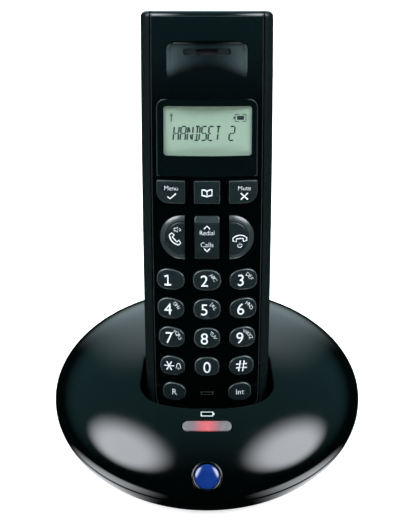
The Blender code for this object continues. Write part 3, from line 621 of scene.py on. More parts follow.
# --- The handset's form --------------------------------------------------------------------
def half_width(z):
    return HALF_WIDTH - BARREL * (z - WIDEST_PART_Z) ** 2


def face_depth(x):
    return x * x / (2.0 * FACE_RADIUS)


def back_depth(z, inset=0.0):
    centre_z = TOP_Z - TOP_BACK_RADIUS
    if z > centre_z:
        radius = TOP_BACK_RADIUS - inset
        return THICKNESS - TOP_BACK_RADIUS + sqrt(max(radius ** 2 - (z - centre_z) ** 2, 0.0))
    low = max(TAPER_START_Z - z, 0.0) / (TAPER_START_Z - BOTTOM_Z)
    return THICKNESS - FOOT_TAPER * low ** 2 - inset


def handset_section(z, inset, end_inset):
    """Closed cross-section: crowned face, turned-in sides and rounded back."""
    wide = half_width(z) - inset - end_inset
    edge = half_width(z) - SIDE_STRIP - 0.4 * inset - end_inset
    front = inset + end_inset
    back = back_depth(z, inset) - SIDE_Y
    if z < TAPER_START_Z:
        back -= end_inset
    face_steps, side_steps, back_steps = 32, 8, 40
    across = [-edge + 2.0 * edge * i / face_steps for i in range(face_steps + 1)]
    points = [(x, front + face_depth(x)) for x in across]
    edge_y = front + face_depth(edge)
    side = [(edge + (wide - edge) * s, SIDE_Y - (SIDE_Y - edge_y) * c)
            for s, c in quarter(side_steps)[1:]]
    round_back = superellipse(wide, back, BACK_POWER, around(2 * back_steps)[1:back_steps])
    points += side + [(x, SIDE_Y + y) for x, y in round_back]
    points += [(-x, y) for x, y in reversed(side)]
    return [(x, y, z) for x, y in points]


def handset_form(name, inset):
    """The handset's outer form, or the same form shrunk by an inset."""
    low, high = BOTTOM_Z + inset, TOP_Z - inset
    low_radius = max(BOTTOM_EDGE_RADIUS - inset, 0.6)
    high_radius = max(TOP_EDGE_RADIUS - inset, 0.4)
    fillet_steps, body_steps, arc_steps = 6, 24, 6
    arc_start, arc_end = TOP_Z - TOP_BACK_RADIUS, high - high_radius
    turn = quarter(fillet_steps)
    stations = [(low + low_radius * (1.0 - c), low_radius * (1.0 - s)) for s, c in turn[:-1]]
    for start, end, steps in ((low + low_radius, arc_start, body_steps),
                              (arc_start, arc_end, arc_steps)):
        stations += [(start + (end - start) * i / steps, 0.0) for i in range(steps)]
    stations += [(arc_end + high_radius * s, high_radius * (1.0 - c)) for s, c in turn]
    return loft(name, [handset_section(z, inset, end_inset) for z, end_inset in stations], HANDSET)


def panel_outline(inset):
    """Outline of the front panel: rounded low corners and barrel sides up past the top."""
    def edge(z):
        return half_width(z) - SIDE_STRIP - inset

    low, corner_radius, steps, side_steps = PANEL_BOTTOM_Z + inset, 8.0, 12, 20
    corner_top = low + corner_radius
    right = [(edge(corner_top) - corner_radius * (1.0 - s), low + corner_radius * (1.0 - c))
             for s, c in quarter(steps)[:-1]]
    for i in range(side_steps + 1):
        z = corner_top + (PANEL_TOP_Z - corner_top) * i / side_steps
        right.append((edge(z), z))
    return right + [(-x, z) for x, z in reversed(right)]


def screw_columns(name, radius, y_front, y_back):
    return [column(f"{name}_{i}", side * SCREW_X, SCREW_Z, radius, y_front, y_back)
            for i, side in enumerate((-1, 1))]


# --- Base ----------------------------------------------------------------------------------
def in_handset(x, y, z, grow):
    """Whether a point of the base's frame is inside the handset's form grown by a clearance."""
    along = y - FACE_FOOT_Y
    depth = along * cos(LEAN) - z * sin(LEAN)
    height = along * sin(LEAN) + z * cos(LEAN)
    wide = half_width(height) + grow
    if depth > SIDE_Y:
        back = back_depth(height) + grow - SIDE_Y
        across = min(abs(x) / wide, 2.0)
        return across ** BACK_POWER + ((depth - SIDE_Y) / back) ** BACK_POWER < 1.0
    edge = half_width(height) - SIDE_STRIP + 0.4 * grow
    if abs(x) < edge:
        return depth > face_depth(x) - grow
    front = face_depth(edge) - grow
    return ((abs(x) - edge) / (wide - edge)) ** 2 + ((SIDE_Y - depth) / (SIDE_Y - front)) ** 2 < 1.0


def in_socket(x, y, z):
    return in_handset(x, y, z, WELL_CLEARANCE)


def in_well(x, y, z):
    """Whether a point is in the open space of the well: the handset's socket and the open
    part in front of it."""
    if in_socket(x, y, z):
        return True
    if y > RIM_BACK_Y:
        return False
    if y > RIM_CENTRE_Y:
        share = (y - RIM_CENTRE_Y) / (RIM_BACK_Y - RIM_CENTRE_Y)
        return abs(x) < RIM_HALF_WIDTH + (RIM_BACK_HALF_WIDTH - RIM_HALF_WIDTH) * share
    across, along = abs(x) / RIM_HALF_WIDTH, (RIM_CENTRE_Y - y) / RIM_DEPTH
    return across ** RIM_POWER + along ** RIM_POWER < 1.0


def along_ray(angle, distance):
    return distance * cos(angle), WELL_MIDDLE_Y + distance * sin(angle)


def ray_exit(angle, height, inside):
    """Distance at which a plan ray leaves a space, at the height that height(x, y) gives."""
    low, high = 0.0, 45.0
    for _ in range(26):
        middle = 0.5 * (low + high)
        x, y = along_ray(angle, middle)
        if inside(x, y, height(x, y)):
            low = middle
        else:
            high = middle
    return low


def ray_to_radius(angle, radius):
    """Distance at which a plan ray reaches a radius about the base's own axis."""
    lift = -WELL_MIDDLE_Y * sin(angle)
    return lift + sqrt(radius ** 2 - WELL_MIDDLE_Y ** 2 * cos(angle) ** 2)


def cover_column(angle):
    """One strip of the cover's surface: from the well's floor up its wall, over the rim and
    the dome, round the seam's lip and back inside to the underside of the well."""
    def at(distance, z):
        return (*along_ray(angle, distance), z)

    def on_dome(distance, inset=0.0):
        x, y = along_ray(angle, distance)
        return (x, y, dome_height(hypot(x, y), inset))

    rim = ray_exit(angle, lambda x, y: dome_height(hypot(x, y)), in_well)
    rim_z = on_dome(rim)[2]
    socket = ray_exit(angle, lambda x, y: WELL_LEDGE_Z, in_socket)
    ledge = max(ray_exit(angle, lambda x, y: WELL_LEDGE_Z, in_well), socket)
    x, y = along_ray(angle, socket)
    height = (y - FACE_FOOT_Y) * sin(LEAN) + WELL_LEDGE_Z * cos(LEAN)
    drop = height - (BOTTOM_Z - WELL_CLEARANCE)
    floor = (x, y - drop * sin(LEAN), WELL_LEDGE_Z - drop * cos(LEAN))

    strip = [floor, at(socket, WELL_LEDGE_Z), at(ledge, WELL_LEDGE_Z)]
    wall_top = rim_z - RIM_FILLET
    wall_steps = 6
    for i in range(1, wall_steps):
        z = WELL_LEDGE_Z + (wall_top - WELL_LEDGE_Z) * i / wall_steps
        strip.append(at(ray_exit(angle, lambda x, y: z, in_well), z))
    wall_end = at(ray_exit(angle, lambda x, y: wall_top, in_well), wall_top)
    turn_end = on_dome(rim + RIM_FILLET)
    corner = Vector((*along_ray(angle, rim), rim_z))
    fillet_steps = 5
    for i in range(fillet_steps + 1):
        t = i / fillet_steps
        point = (Vector(wall_end) * (1.0 - t) ** 2 + corner * 2.0 * t * (1.0 - t)
                 + Vector(turn_end) * t ** 2)
        strip.append(tuple(point))
    outer = ray_to_radius(angle, BASE_RADIUS)
    dome_steps = 44
    for share, _ in quarter(dome_steps)[1:]:
        strip.append(on_dome(rim + RIM_FILLET + (outer - rim - RIM_FILLET) * share))
    lip = SEAM_Z + 0.2
    edge_round = 0.25
    for z in (WIDEST_Z - 0.4, lip + edge_round):
        strip.append(at(ray_to_radius(angle, tuck_radius(z)), z))
    strip.append(at(ray_to_radius(angle, tuck_radius(lip) - edge_round), lip))
    inner = BASE_RADIUS - COVER_WALL
    strip.append(at(ray_to_radius(angle, inner), lip))
    inner_steps = 8
    inner_end = rim + COVER_WALL + 0.6
    inner_start = ray_to_radius(angle, inner)
    for _, share in quarter(inner_steps):
        strip.append(on_dome(inner_end + (inner_start - inner_end) * share, COVER_WALL))
    strip.append(at(ledge + COVER_WALL, WELL_LEDGE_Z - 1.8))
    strip.append((floor[0] * 1.08, floor[1] - 1.0, floor[2] - 1.8))
    return strip


def base_cover():
    strips = [cover_column(2.0 * pi * i / WELL_RAYS) for i in range(WELL_RAYS)]
    rings = [list(ring) for ring in zip(*strips)]
    cover = loft("base_dome", rings)
    form = SmoothForm(cover)
    cutters = [stadium("cut_bar", -GAP, [-DOME_CUT_TOP, DOME_CUT_TOP], False)]
    for name, radius, y, low in (("cut_badge", BADGE_RADIUS, BADGE_Y, -BADGE_DEPTH - GAP),
                                 ("cut_button", PAGE_BUTTON_RADIUS, PAGE_BUTTON_Y, -6.0)):
        side = [(radius + GAP, low), (radius + GAP, DOME_CUT_TOP)]
        cutters.append(turned(name, side, dome_placement(y)))
    carve(cover, "DIFFERENCE", *cutters)
    shade_like(cover, [form])
    finish(cover, "gloss_black", "base", "base_top_cover")
    return cover


def stadium(name, inset, heights, follow_dome=True, fillet=0.0):
    """The light bar's rounded outline at the given heights along the dome's normal; its last
    rings turn in over a fillet and its top follows the dome."""
    levels = [(inset, z) for z in heights]
    if fillet:
        top = heights[-1]
        levels[-1] = (inset, top - fillet)
        levels += [(inset + fillet * (1.0 - c), top - fillet * (1.0 - s))
                   for s, c in quarter(4)[1:]]
        levels += [(1.2, top), (1.9, top)]
    rings = []
    for reach, z in levels:
        outline = rounded_box(LIGHT_BAR, LIGHT_BAR[3] - 0.05, inset=reach, steps=12)
        rings.append([(x, y, z - (dome_sag(x, LIGHT_BAR_Y) if follow_dome else 0.0))
                      for x, y in outline])
    return loft(name, rings, dome_placement(LIGHT_BAR_Y))


def base_trim(cover):
    bar = stadium("charge_bar_diffuser", 0.0, [-3.2, 0.15], fillet=0.4)
    shade(bar.data, 50.0)
    finish(bar, "light_bar", "base", "charge_light_bar")

    place = dome_placement(BADGE_Y)
    inner, outer, top = BADGE_LENS_RADIUS + 0.1, BADGE_RADIUS, 0.35
    section = [(outer, -BADGE_DEPTH), (outer, top - 0.35), (outer - 0.12, top - 0.1),
               (outer - 0.4, top), (inner + 0.15, top - 0.1), (inner, top - 0.3),
               (inner, -BADGE_DEPTH)]
    ring = hoop("badge_trim", section, place)
    shade(ring.data, 60.0)
    finish(ring, "chrome", "base", "badge_ring", look="gloss_black")
    line = turned("badge_line", [(outer - 0.1, -0.4), (outer + 0.12, -0.4), (outer + 0.12, 0.06),
                                 (outer + 0.02, 0.14), (outer - 0.1, 0.14)], place, 96)
    shade(line.data, 60.0)
    finish(line, "chrome", "base", look="dark_trim")
    r = BADGE_LENS_RADIUS
    dome = [(r * c, 0.05 + 1.05 * s) for s, c in quarter(12)[:-1]]
    lens = turned("badge_glass", [(r, -BADGE_DEPTH), *dome, (0.05, 1.1)], place, 96)
    shade(lens.data, 60.0)
    finish(lens, "badge", "base", "badge_lens")

    icon = [stroke_shape([(-2.2, -0.85), (2.2, -0.85), (2.2, 0.85), (-2.2, 0.85)], 0.36, True),
            stroke_shape([(2.6, -0.35), (2.6, 0.35)], 0.4)]
    printed("base_battery_symbol", cover, icon, "base",
            lambda u, v: ((u, v + BATTERY_SYMBOL_Y, ABOVE_BASE_Z), (0.0, 0.0, -1.0)))


def page_button():
    r = PAGE_BUTTON_RADIUS
    profile = [(r, -4.4), (r, 0.35)]
    profile += [(r - 0.6 * (1.0 - c), 0.35 + 0.5 * s) for s, c in quarter(6)[1:]]
    profile += [(r * share, 1.0 - 0.15 * share) for share in (0.75, 0.5, 0.25, 0.02)]
    button = turned("page_button_cap", profile, dome_placement(PAGE_BUTTON_Y), 96)
    shade(button.data, 50.0)
    finish(button, "key_black", "page_button", "page_button", look="rear_black")
    waves = []
    for radius in (1.1, 2.1):
        for start in (-40.0, 140.0):
            waves.append(stroke_shape(arc(0.0, 0.0, radius, start, start + 80.0), 0.3))
    waves.append(stroke_shape(arc(0.0, 0.0, 0.2, 0.0, 330.0), 0.35, True))
    printed("page_button_symbol", button, waves, "page_button",
            lambda u, v: ((u, v, 6.0), (0.0, 0.0, -1.0)))


def bottom_skirt():
    """Smooth outer side of the bottom shell, open where the two cable channels leave it."""
    outline, thick = [], 0.45
    rim = SEAM_Z - 0.2
    side_steps, proud = 10, 0.07
    for i in range(side_steps + 1):
        z = UNDERSIDE_Z + 0.15 + (rim - 0.2 - UNDERSIDE_Z - 0.15) * i / side_steps
        outline.append((tuck_radius(z) + proud, z))
    outline += [(tuck_radius(rim) - 0.2 + proud, rim + 0.02), (tuck_radius(rim) - thick, rim + 0.02)]
    outline += [(tuck_radius(UNDERSIDE_Z) - thick, UNDERSIDE_Z - 0.02),
                (tuck_radius(UNDERSIDE_Z) - 0.2 + proud, UNDERSIDE_Z - 0.02)]
    skirt = hoop("base_skirt", outline, segments=192)
    form = SmoothForm(skirt)
    cutters = []
    for i, side in enumerate((-1, 1)):
        x = side * SOCKET_X
        box = [(x - CHANNEL_HALF_WIDTH, -1.0), (x + CHANNEL_HALF_WIDTH, -1.0),
               (x + CHANNEL_HALF_WIDTH, CHANNEL_TOP), (x - CHANNEL_HALF_WIDTH, CHANNEL_TOP)]
        cutters.append(slab(f"cut_channel_{i}", box, 40.0, 66.0, UPRIGHT))
    carve(skirt, "DIFFERENCE", *cutters)
    shade_like(skirt, [form])
    finish(skirt, "gloss_black", "base")


# --- Printing ------------------------------------------------------------------------------
def mesh_of(thing):
    """The mesh of a curve or text object, which it uses up."""
    shaped = thing.evaluated_get(bpy.context.evaluated_depsgraph_get())
    mesh = bpy.data.meshes.new_from_object(shaped)
    bpy.data.objects.remove(thing)
    return mesh


def shape_of(thing, flatten=1.0):
    """A curve or text object as (points, faces) in the plane of the print, and deletes it."""
    mesh = mesh_of(thing)
    points = [(v.co.x, v.co.y, v.co.z * flatten) for v in mesh.vertices]
    faces = [tuple(face.vertices) for face in mesh.polygons]
    bpy.data.meshes.remove(mesh)
    return points, faces


def link_curve(data):
    thing = linked(data.name, data)
    bpy.context.view_layer.update()
    return thing


def rod(name, route, radius, bevel_steps, closed):
    """A round rod along (x, y, z) points, as a curve object."""
    data = bpy.data.curves.new(name, "CURVE")
    data.dimensions = "3D"
    data.bevel_depth = radius
    data.bevel_resolution = bevel_steps
    data.use_fill_caps = True
    line = data.splines.new("POLY")
    line.points.add(len(route) - 1)
    for point, spot in zip(line.points, route):
        point.co = (*spot, 1.0)
    line.use_cyclic_u = closed
    return link_curve(data)


def text_shape(words, x, z, height, bold=0.0, turn=0.0, stretch=1.0):
    """Lettering whose capitals have the given height, centred on (x, z)."""
    capital = 0.70
    data = bpy.data.curves.new("lettering", "FONT")
    data.body = words
    data.align_x, data.align_y = "CENTER", "CENTER"
    data.size = height / capital
    data.offset = bold
    data.extrude = INK
    data.resolution_u = 5
    points, faces = shape_of(link_curve(data))
    low, high = min(p[1] for p in points), max(p[1] for p in points)
    middle = 0.5 * (low + high) if len(words) == 1 else 0.5 * (low + low + height)
    c, s = cos(radians(turn)), sin(radians(turn))
    placed = []
    for u, v, w in points:
        u, v = u * stretch, v - middle
        placed.append((x + u * c - v * s, z + u * s + v * c, w))
    return placed, faces


def stroke_shape(route, width, closed=False):
    """A pen stroke along (x, z) points, as a flattened rod."""
    pen = rod("stroke", [(u, v, 0.0) for u, v in route], 0.5 * width, 2, closed)
    return shape_of(pen, 2.0 * INK / width)


def arc(x, z, radius, start, end, steps=10):
    return [(x + radius * cos(radians(start + (end - start) * i / steps)),
             z + radius * sin(radians(start + (end - start) * i / steps))) for i in range(steps + 1)]


def printed(name, target, shapes, body, ray, look="ink"):
    """Lays flat shapes on the target. ray(u, v) gives where a line onto the surface starts,
    and its direction, in the target's own frame."""
    tree = BVHTree.FromObject(target, bpy.context.evaluated_depsgraph_get())
    points, faces = [], []
    for shape_points, shape_faces in shapes:
        start = len(points)
        for u, v, w in shape_points:
            origin, direction = (Vector(part) for part in ray(u, v))
            hit = tree.ray_cast(origin * MM, direction, 1.0)[0]
            if hit is None:
                raise ValueError(f"{name}: nothing to print on at {u:.2f}, {v:.2f}")
            points.append(hit / MM - direction * (0.4 * INK + w))
        faces += [tuple(start + i for i in face) for face in shape_faces]
    mark = make_object(name, points, faces, target.matrix_world)
    shade(mark.data, 50.0)
    return finish(mark, "key_black" if body.startswith("key") else "gloss_black", body, look=look)


def face_ray(u, v):
    return (u, -8.0, v), (0.0, 1.0, 0.0)


# --- Handset shell -------------------------------------------------------------------------
def scoop_cutter():
    """Dish over the earpiece. Its floor deepens upwards from an arched lower boundary and
    follows the crown of the face, and it curves up to the sides and the upper edge."""
    low, high = SCOOP_Z
    corner, side_curve, top_curve = 3.4, 1.1, 1.7
    levels, floor_steps = 40, 40
    rings = []
    for i in range(levels + 1):
        z = low + (high - low) * sin(0.5 * pi * i / levels)
        rise = max(z - (high - corner), 0.0)
        wide = SCOOP_HALF_WIDTH - corner + sqrt(max(corner ** 2 - rise ** 2, 0.0))
        from_top = min((high - z) / top_curve, 1.0)
        floor = []
        for j in range(floor_steps + 1):
            x = wide * sin(0.5 * pi * (2.0 * j / floor_steps - 1.0))
            from_side = min((wide - abs(x)) / side_curve, 1.0)
            start = low + SCOOP_ARCH * (1.0 - (x / SCOOP_HALF_WIDTH) ** 2)
            deep = SCOOP_DEPTH * max(z - start, 0.0) / (high - start) * sin(0.5 * pi * from_top)
            floor.append((x, face_depth(x) + deep * sin(0.5 * pi * from_side) - 0.02, z))
        rings.append(floor + [(wide, -3.0, z), (-wide, -3.0, z)])
    return loft("cut_scoop", rings, HANDSET)


def front_panel(outlines, form):
    panel = handset_form("handset_front_panel", 0.0)
    carve(panel, "INTERSECT", front_cut("cut_panel", panel_outline(GROOVE), PANEL_BACK_Y))
    hollow = handset_form("cut_hollow", PANEL_WALL)
    carve(panel, "DIFFERENCE", hollow)
    holes = [front_cut(f"cut_{name}", outline(-KEY_GAP)) for name, outline in outlines.items()]
    holes.append(front_cut("cut_window", rounded_box(WINDOW, WINDOW_RADII, inset=-0.1)))
    scoop = scoop_cutter()
    scoop_form = SmoothForm(scoop)
    carve(panel, "DIFFERENCE", *holes, scoop)
    carve(panel, "DIFFERENCE", front_cut("cut_ear", rounded_box(EARPIECE_SLOT, 1.1)),
          front_cut("cut_microphone", rounded_box(MICROPHONE_SLOT, 0.48)))
    shade_like(panel, [form, scoop_form])
    finish(panel, "panel_black", "handset", "handset_front_housing")
    # The scoop's floor takes the scoop finish, with its painted sheen and painted shadow.
    panel.data.materials.append(FINISHES["scoop"])
    for face in panel.data.polygons:
        x, y, z = face.center / MM
        inside = abs(x) < SCOOP_HALF_WIDTH and SCOOP_Z[0] < z < SCOOP_Z[1]
        dished = 0.04 < y - face_depth(x) < SCOOP_DEPTH + 0.1
        if inside and dished and face.normal.y < -0.3:
            face.material_index = 1
    return panel


def rear_shell(form):
    shell = handset_form("handset_rear_shell", 0.0)
    hollow = handset_form("cut_hollow", REAR_WALL)
    tray = slab("cut_tray_outer", box_outline(TRAY_OUTER), TRAY_FLOOR_Y[0], CUT_BEHIND_Y)
    carve(hollow, "DIFFERENCE", tray, *screw_columns("cut_boss", 3.6, 10.6, 26.0))
    carve(shell, "DIFFERENCE", hollow)
    mouth = front_cut("cut_mouth", panel_outline(-GAP), PANEL_BACK_Y + GAP)
    inside = slab("cut_tray", box_outline(TRAY_INNER), TRAY_FLOOR_Y[1], CUT_BEHIND_Y)
    opening = slab("cut_cover", rounded_box(COVER_OPENING, 1.5), COVER_LEDGE_Y, CUT_BEHIND_Y)
    carve(shell, "DIFFERENCE", mouth, inside, opening)
    vents = []
    for i in (-1, 0, 1):
        box = (-6.0, 6.0, RINGER_Z + 3.0 * i - 0.6, RINGER_Z + 3.0 * i + 0.6)
        vents.append(slab(f"cut_vent_{i + 2}", rounded_box(box, 0.58), 21.0, CUT_BEHIND_Y))
    recesses = []
    for i, side in enumerate((-1, 1)):
        place = HANDSET @ Matrix.Translation(Vector((side * CONTACT_X, CONTACT_Y, 0.0)) * MM)
        recesses.append(turned(f"cut_contact_{i}", [(2.1, 10.0), (2.1, 24.0)], place, 48))
    carve(shell, "DIFFERENCE", *vents, *recesses, *screw_columns("cut_shank", 1.6, 9.0, 26.0))
    carve(shell, "DIFFERENCE", *screw_columns("cut_head", 3.0, 18.6, 26.0))
    shade_like(shell, [form])
    finish(shell, "gloss_black", "handset", "handset_rear_housing", look="rear_black")


def battery_door(form):
    door = handset_form("battery_door", 0.0)
    carve(door, "INTERSECT", slab("cut_door", rounded_box(COVER_OPENING, 1.5, inset=0.2),
                                  COVER_LEDGE_Y - 1.0, CUT_BEHIND_Y))
    carve(door, "DIFFERENCE", handset_form("cut_hollow", REAR_WALL - 0.3))
    shade_like(door, [form])
    finish(door, "gloss_black", "battery_cover", "battery_cover", look="rear_black")
    low = COVER_OPENING[2]
    grips = []
    for i in range(5):
        z = low + 5.0 + 1.6 * i
        half = 7.0 - 0.9 * i
        grips.append(stroke_shape([(-half + half * j / 8.0, z) for j in range(17)], 0.7))
    printed("battery_door_grip", door, grips, "battery_cover",
            lambda u, v: ((u, 40.0, v), (0.0, -1.0, 0.0)), look="rear_black")


def edge_bead(name, route, radius, body, slot, look, closed=False):
    """A rounded edge: a fine rod along a route of (x, y, z) points."""
    mesh = mesh_of(rod(name, [Vector(spot) * MM for spot in route], radius * MM, 3, closed))
    shade(mesh, 50.0)
    return finish(linked(name, mesh, HANDSET), slot, body, look=look)


def panel_beads():
    """The fine bright line round the panel's front edge: a fine rod whose rounding catches real
    reflections and whose lighter colour is a painted highlight.
    """
    inset, radius = GROOVE + 0.16, 0.17
    top = TOP_Z - TOP_EDGE_RADIUS + 0.2
    outline = [(x, z) for x, z in panel_outline(inset) if z < top - 1.0]
    half = len(outline) // 2
    right, left = outline[:half], outline[half:]
    edge = right[-1][0]
    across = [(edge - 2.0 * edge * i / 24.0, top) for i in range(25)]
    route = [(x, face_depth(x) + 0.10, z) for x, z in right]
    route += [(x, face_depth(x) + 0.08, z) for x, z in across]
    route += [(x, face_depth(x) + 0.10, z) for x, z in left]
    edge_bead("panel_edge", route, radius, "handset", "panel_black", "edge", closed=True)


def slot_details():
    """A rounded lip on the microphone slot, and the ribs at the ends of the earpiece slot."""
    route = [(x, face_depth(x) + 0.02, z) for x, z in rounded_box(MICROPHONE_SLOT, 0.48)]
    # The lip's rounding catches real glints, and its lighter edge colour is a painted highlight at
    # the slot's ends.
    edge_bead("microphone_lip", route, 0.14, "handset", "panel_black", "edge", closed=True)
    low, high = EARPIECE_SLOT[2:]
    for side, tag in ((-1, "left"), (1, "right")):
        points, faces = [], []
        for i in range(RIB_COUNT):
            x = side * (EARPIECE_SLOT[1] - 0.7 - RIB_PITCH * i)
            near = face_depth(x) + SCOOP_DEPTH + 0.02
            left, right, far, k = x - RIB_HALF_WIDTH, x + RIB_HALF_WIDTH, near + 0.3, len(points)
            points += [(u, y, z) for z in (low, high)
                       for u, y in ((left, near), (right, near), (right, far), (left, far))]
            faces += [(k, k + 1, k + 2, k + 3), (k + 4, k + 5, k + 6, k + 7)]
            faces += [(k + j, k + (j + 1) % 4, k + 4 + (j + 1) % 4, k + 4 + j) for j in range(4)]
        ribs = make_object(f"earpiece_ribs_{tag}", points, faces, HANDSET)
        shade(ribs.data)
        finish(ribs, "panel_black", "handset", look="key_slope")


def display():
    """Printed surround with the clear pane over the LCD, whose segments are dark shapes."""
    surround = handset_form("display_surround", 0.0)
    form = SmoothForm(surround)
    carve(surround, "INTERSECT", front_cut(
        "cut_lens", rounded_box(WINDOW, WINDOW_RADII, inset=0.05), SIDE_Y))
    carve(surround, "DIFFERENCE", handset_form("cut_lens_back", 0.6))
    carve(surround, "DIFFERENCE", front_cut("cut_lcd", rounded_box(LCD_HOLE, 1.1)))
    shade_like(surround, [form])
    finish(surround, "window", "handset", "display_window", look="surround")

    pane = handset_form("display_pane", 0.12)
    carve(pane, "INTERSECT", front_cut(
        "cut_pane", rounded_box(LCD_HOLE, 1.0, inset=0.03), SIDE_Y))
    carve(pane, "DIFFERENCE", handset_form("cut_pane_back", 0.42))
    shade_like(pane, [form])
    finish(pane, "window", "handset", look="window")

    route = [(x, face_depth(x) + 0.03, z) for x, z in rounded_box(WINDOW, WINDOW_RADII, inset=0.12)]
    # The bezel rod's rounding catches real reflections, and its lighter edge colour is a painted
    # highlight round the window.
    edge_bead("display_bezel", route, 0.2, "handset", "window", "edge", closed=True)

    face = slab("lcd_face", rounded_box(LCD_GLASS, 0.6), LCD_Y, LCD_BACK_Y)
    shade(face.data)
    finish(face, "lcd", "handset", "lcd_module")
    lcd_marks(face)


SEGMENT_LETTERS = {           # lit bars of each fourteen-segment letter
    "H": "bcefgh", "A": "abcefgh", "N": "bcefil", "D": "abcdjk", "S": "acdfgh",
    "E": "adefg", "T": "ajk", "2": "abdegh"}


def segment_bars(width, height):
    """Name to end points of the bars of a fourteen-segment letter; j and k are the middle
    posts, i and l the diagonals."""
    w, h, m, gap = 0.5 * width, 0.5 * height, 0.0, 0.22
    return {"a": [(-w + gap, h), (w - gap, h)], "b": [(w, h - gap), (w, gap)],
            "c": [(w, -gap), (w, -h + gap)], "d": [(-w + gap, -h), (w - gap, -h)],
            "e": [(-w, -gap), (-w, -h + gap)], "f": [(-w, h - gap), (-w, gap)],
            "g": [(-w + gap, m), (-0.12, m)], "h": [(0.12, m), (w - gap, m)],
            "i": [(-w + 0.35, h - 0.5), (-0.2, 0.45)], "l": [(0.2, -0.45), (w - 0.35, -h + 0.5)],
            "j": [(m, h - gap), (m, gap)], "k": [(m, -gap), (m, -h + gap)]}


def lcd_marks(face):
    """The handset's number, an aerial and a battery gauge. The glass lies deeper than the
    face, so what seems to be at z from the front is lower by the drop."""
    drop = 0.95
    width, height, pitch, slant, pen = 1.85, 5.2, 2.60, 0.10, 0.54
    start, middle = -11.5, 130.5 - drop
    bars = segment_bars(width, height)
    shapes = []
    for i, letter in enumerate("HANDSET 2"):
        for bar in SEGMENT_LETTERS.get(letter, ""):
            route = [(start + i * pitch + u + slant * v, middle + v) for u, v in bars[bar]]
            shapes.append(stroke_shape(route, pen))
    x, z = -13.3, 136.5 - drop
    shapes += [stroke_shape([(x, z - 1.6), (x, z + 1.6)], 0.34),
               stroke_shape([(x - 0.6, z + 0.9), (x, z + 0.4), (x + 0.6, z + 0.9)], 0.3)]
    x, z = 12.4, 136.3 - drop
    shapes += [stroke_shape([(x - 0.5, z + 1.3), (x - 1.9, z + 1.3), (x - 1.9, z - 1.3),
                             (x - 0.5, z - 1.3)], 0.32),
               stroke_shape([(x + 0.8, z + 1.3), (x + 2.1, z + 1.3), (x + 2.1, z - 1.3),
                             (x + 0.8, z - 1.3)], 0.32),
               stroke_shape([(x - 1.2, z), (x + 1.4, z)], 1.5),
               stroke_shape([(x - 2.3, z - 0.45), (x - 2.3, z + 0.45)], 0.5)]
    printed("lcd_segments", face, shapes, "handset", face_ray, look="segments")


# --- Keys ----------------------------------------------------------------------------------
def number_key_outline(row, column, inset):
    width, height = ROW_SIZE[row]
    x, z = column * ROW_SIDE_X[row], ROW_Z[row]
    points = []
    for px, pz in superellipse(0.5 * width - inset, 0.5 * height - inset, KEY_POWER, around(64)):
        if pz > 0.0:
            pz *= 1.0 - KEY_SLOPE * max(-column * px / (0.5 * width), -0.3)
        points.append((x + px, z + pz))
    return points


def soft_key_outline(column, inset):
    if column == 0:
        return rounded_box((-SOFT_KEY_MIDDLE, SOFT_KEY_MIDDLE, *SOFT_KEY_Z), 0.5, inset=inset)
    near, far = SOFT_KEY_X
    if column < 0:
        return rounded_box((-far, -near, *SOFT_KEY_Z), (SOFT_KEY_CORNER, 0.5, 0.5, 0.8), inset=inset)
    return rounded_box((near, far, *SOFT_KEY_Z), (0.5, SOFT_KEY_CORNER, 0.8, 0.5), inset=inset)


def call_key_outline(column, inset, straight_inset=None):
    """D shape with its straight side towards the middle of the handset."""
    flat = inset if straight_inset is None else straight_inset
    radius = CALL_KEY_RADIUS - inset
    start = CALL_KEY_STRAIGHT_X + flat
    steps = 40
    points = [(start, -radius)]
    for i in range(steps + 1):
        a = -0.5 * pi + pi * i / steps
        points.append((CALL_KEY_CENTRE_X + radius * cos(a), radius * sin(a)))
    points.append((start, radius))
    points += [(start, radius - 2.0 * radius * i / 16.0) for i in range(1, 16)]
    return [(column * x, CALL_KEY_Z + z) for x, z in points]


def key_outlines():
    """Name to outline function for every key."""
    outlines = {}
    for row, names in enumerate(ROW_KEYS):
        for column, name in zip((-1, 0, 1), names):
            if name:
                outlines[name] = lambda d, r=row, c=column: number_key_outline(r, c, d)
    for column, name in ((-1, "key_menu"), (0, "key_phonebook"), (1, "key_mute")):
        outlines[name] = lambda d, c=column: soft_key_outline(c, d)
    for column, name in ((-1, "key_call"), (1, "key_end")):
        outlines[name] = lambda d, c=column: call_key_outline(c, d)
    outlines["key_navigation"] = lambda d: rounded_box(NAVIGATION_KEY, 0.6, inset=d)
    return outlines


def rimmed(cap, name, is_rim, look):
    """Key finish, with a lighter look on the faces that is_rim picks by middle and normal: a painted
    highlight on faces that catch the light.
    """
    finish(cap, "key_black", name, name)
    cap.data.materials.append(FINISHES[look])
    for face in cap.data.polygons:
        x, y, z = face.center / MM
        if is_rim(face_depth(x) - y, face.normal):
            face.material_index = 1
    return cap


def on_fillet(above, normal):
    return above > 0.2 and -0.90 < normal.y < -0.42


def closed_cap(name, outline, profile, middle, dish):
    """A cap through (inset, height above the face) pairs, closed by rings that shrink to a
    middle (x, z) and rise or sink by the dish."""
    def ring(points, above):
        return [(x, face_depth(x) - above, z) for x, z in points]

    rings = [[(x, KEY_STEM_Y, z) for x, z in outline(profile[0][0])]]
    rings += [ring(outline(inset), above) for inset, above in profile]
    inset, above = profile[-1]
    to_x, to_z = middle
    for share in DISH_SHARES:
        points = [(to_x + (x - to_x) * share, to_z + (z - to_z) * share) for x, z in outline(inset)]
        rings.append(ring(points, above + dish * (1.0 - share ** 2)))
    cap = loft(f"{name}_cap", rings, HANDSET)
    shade(cap.data, 28.0)
    return cap


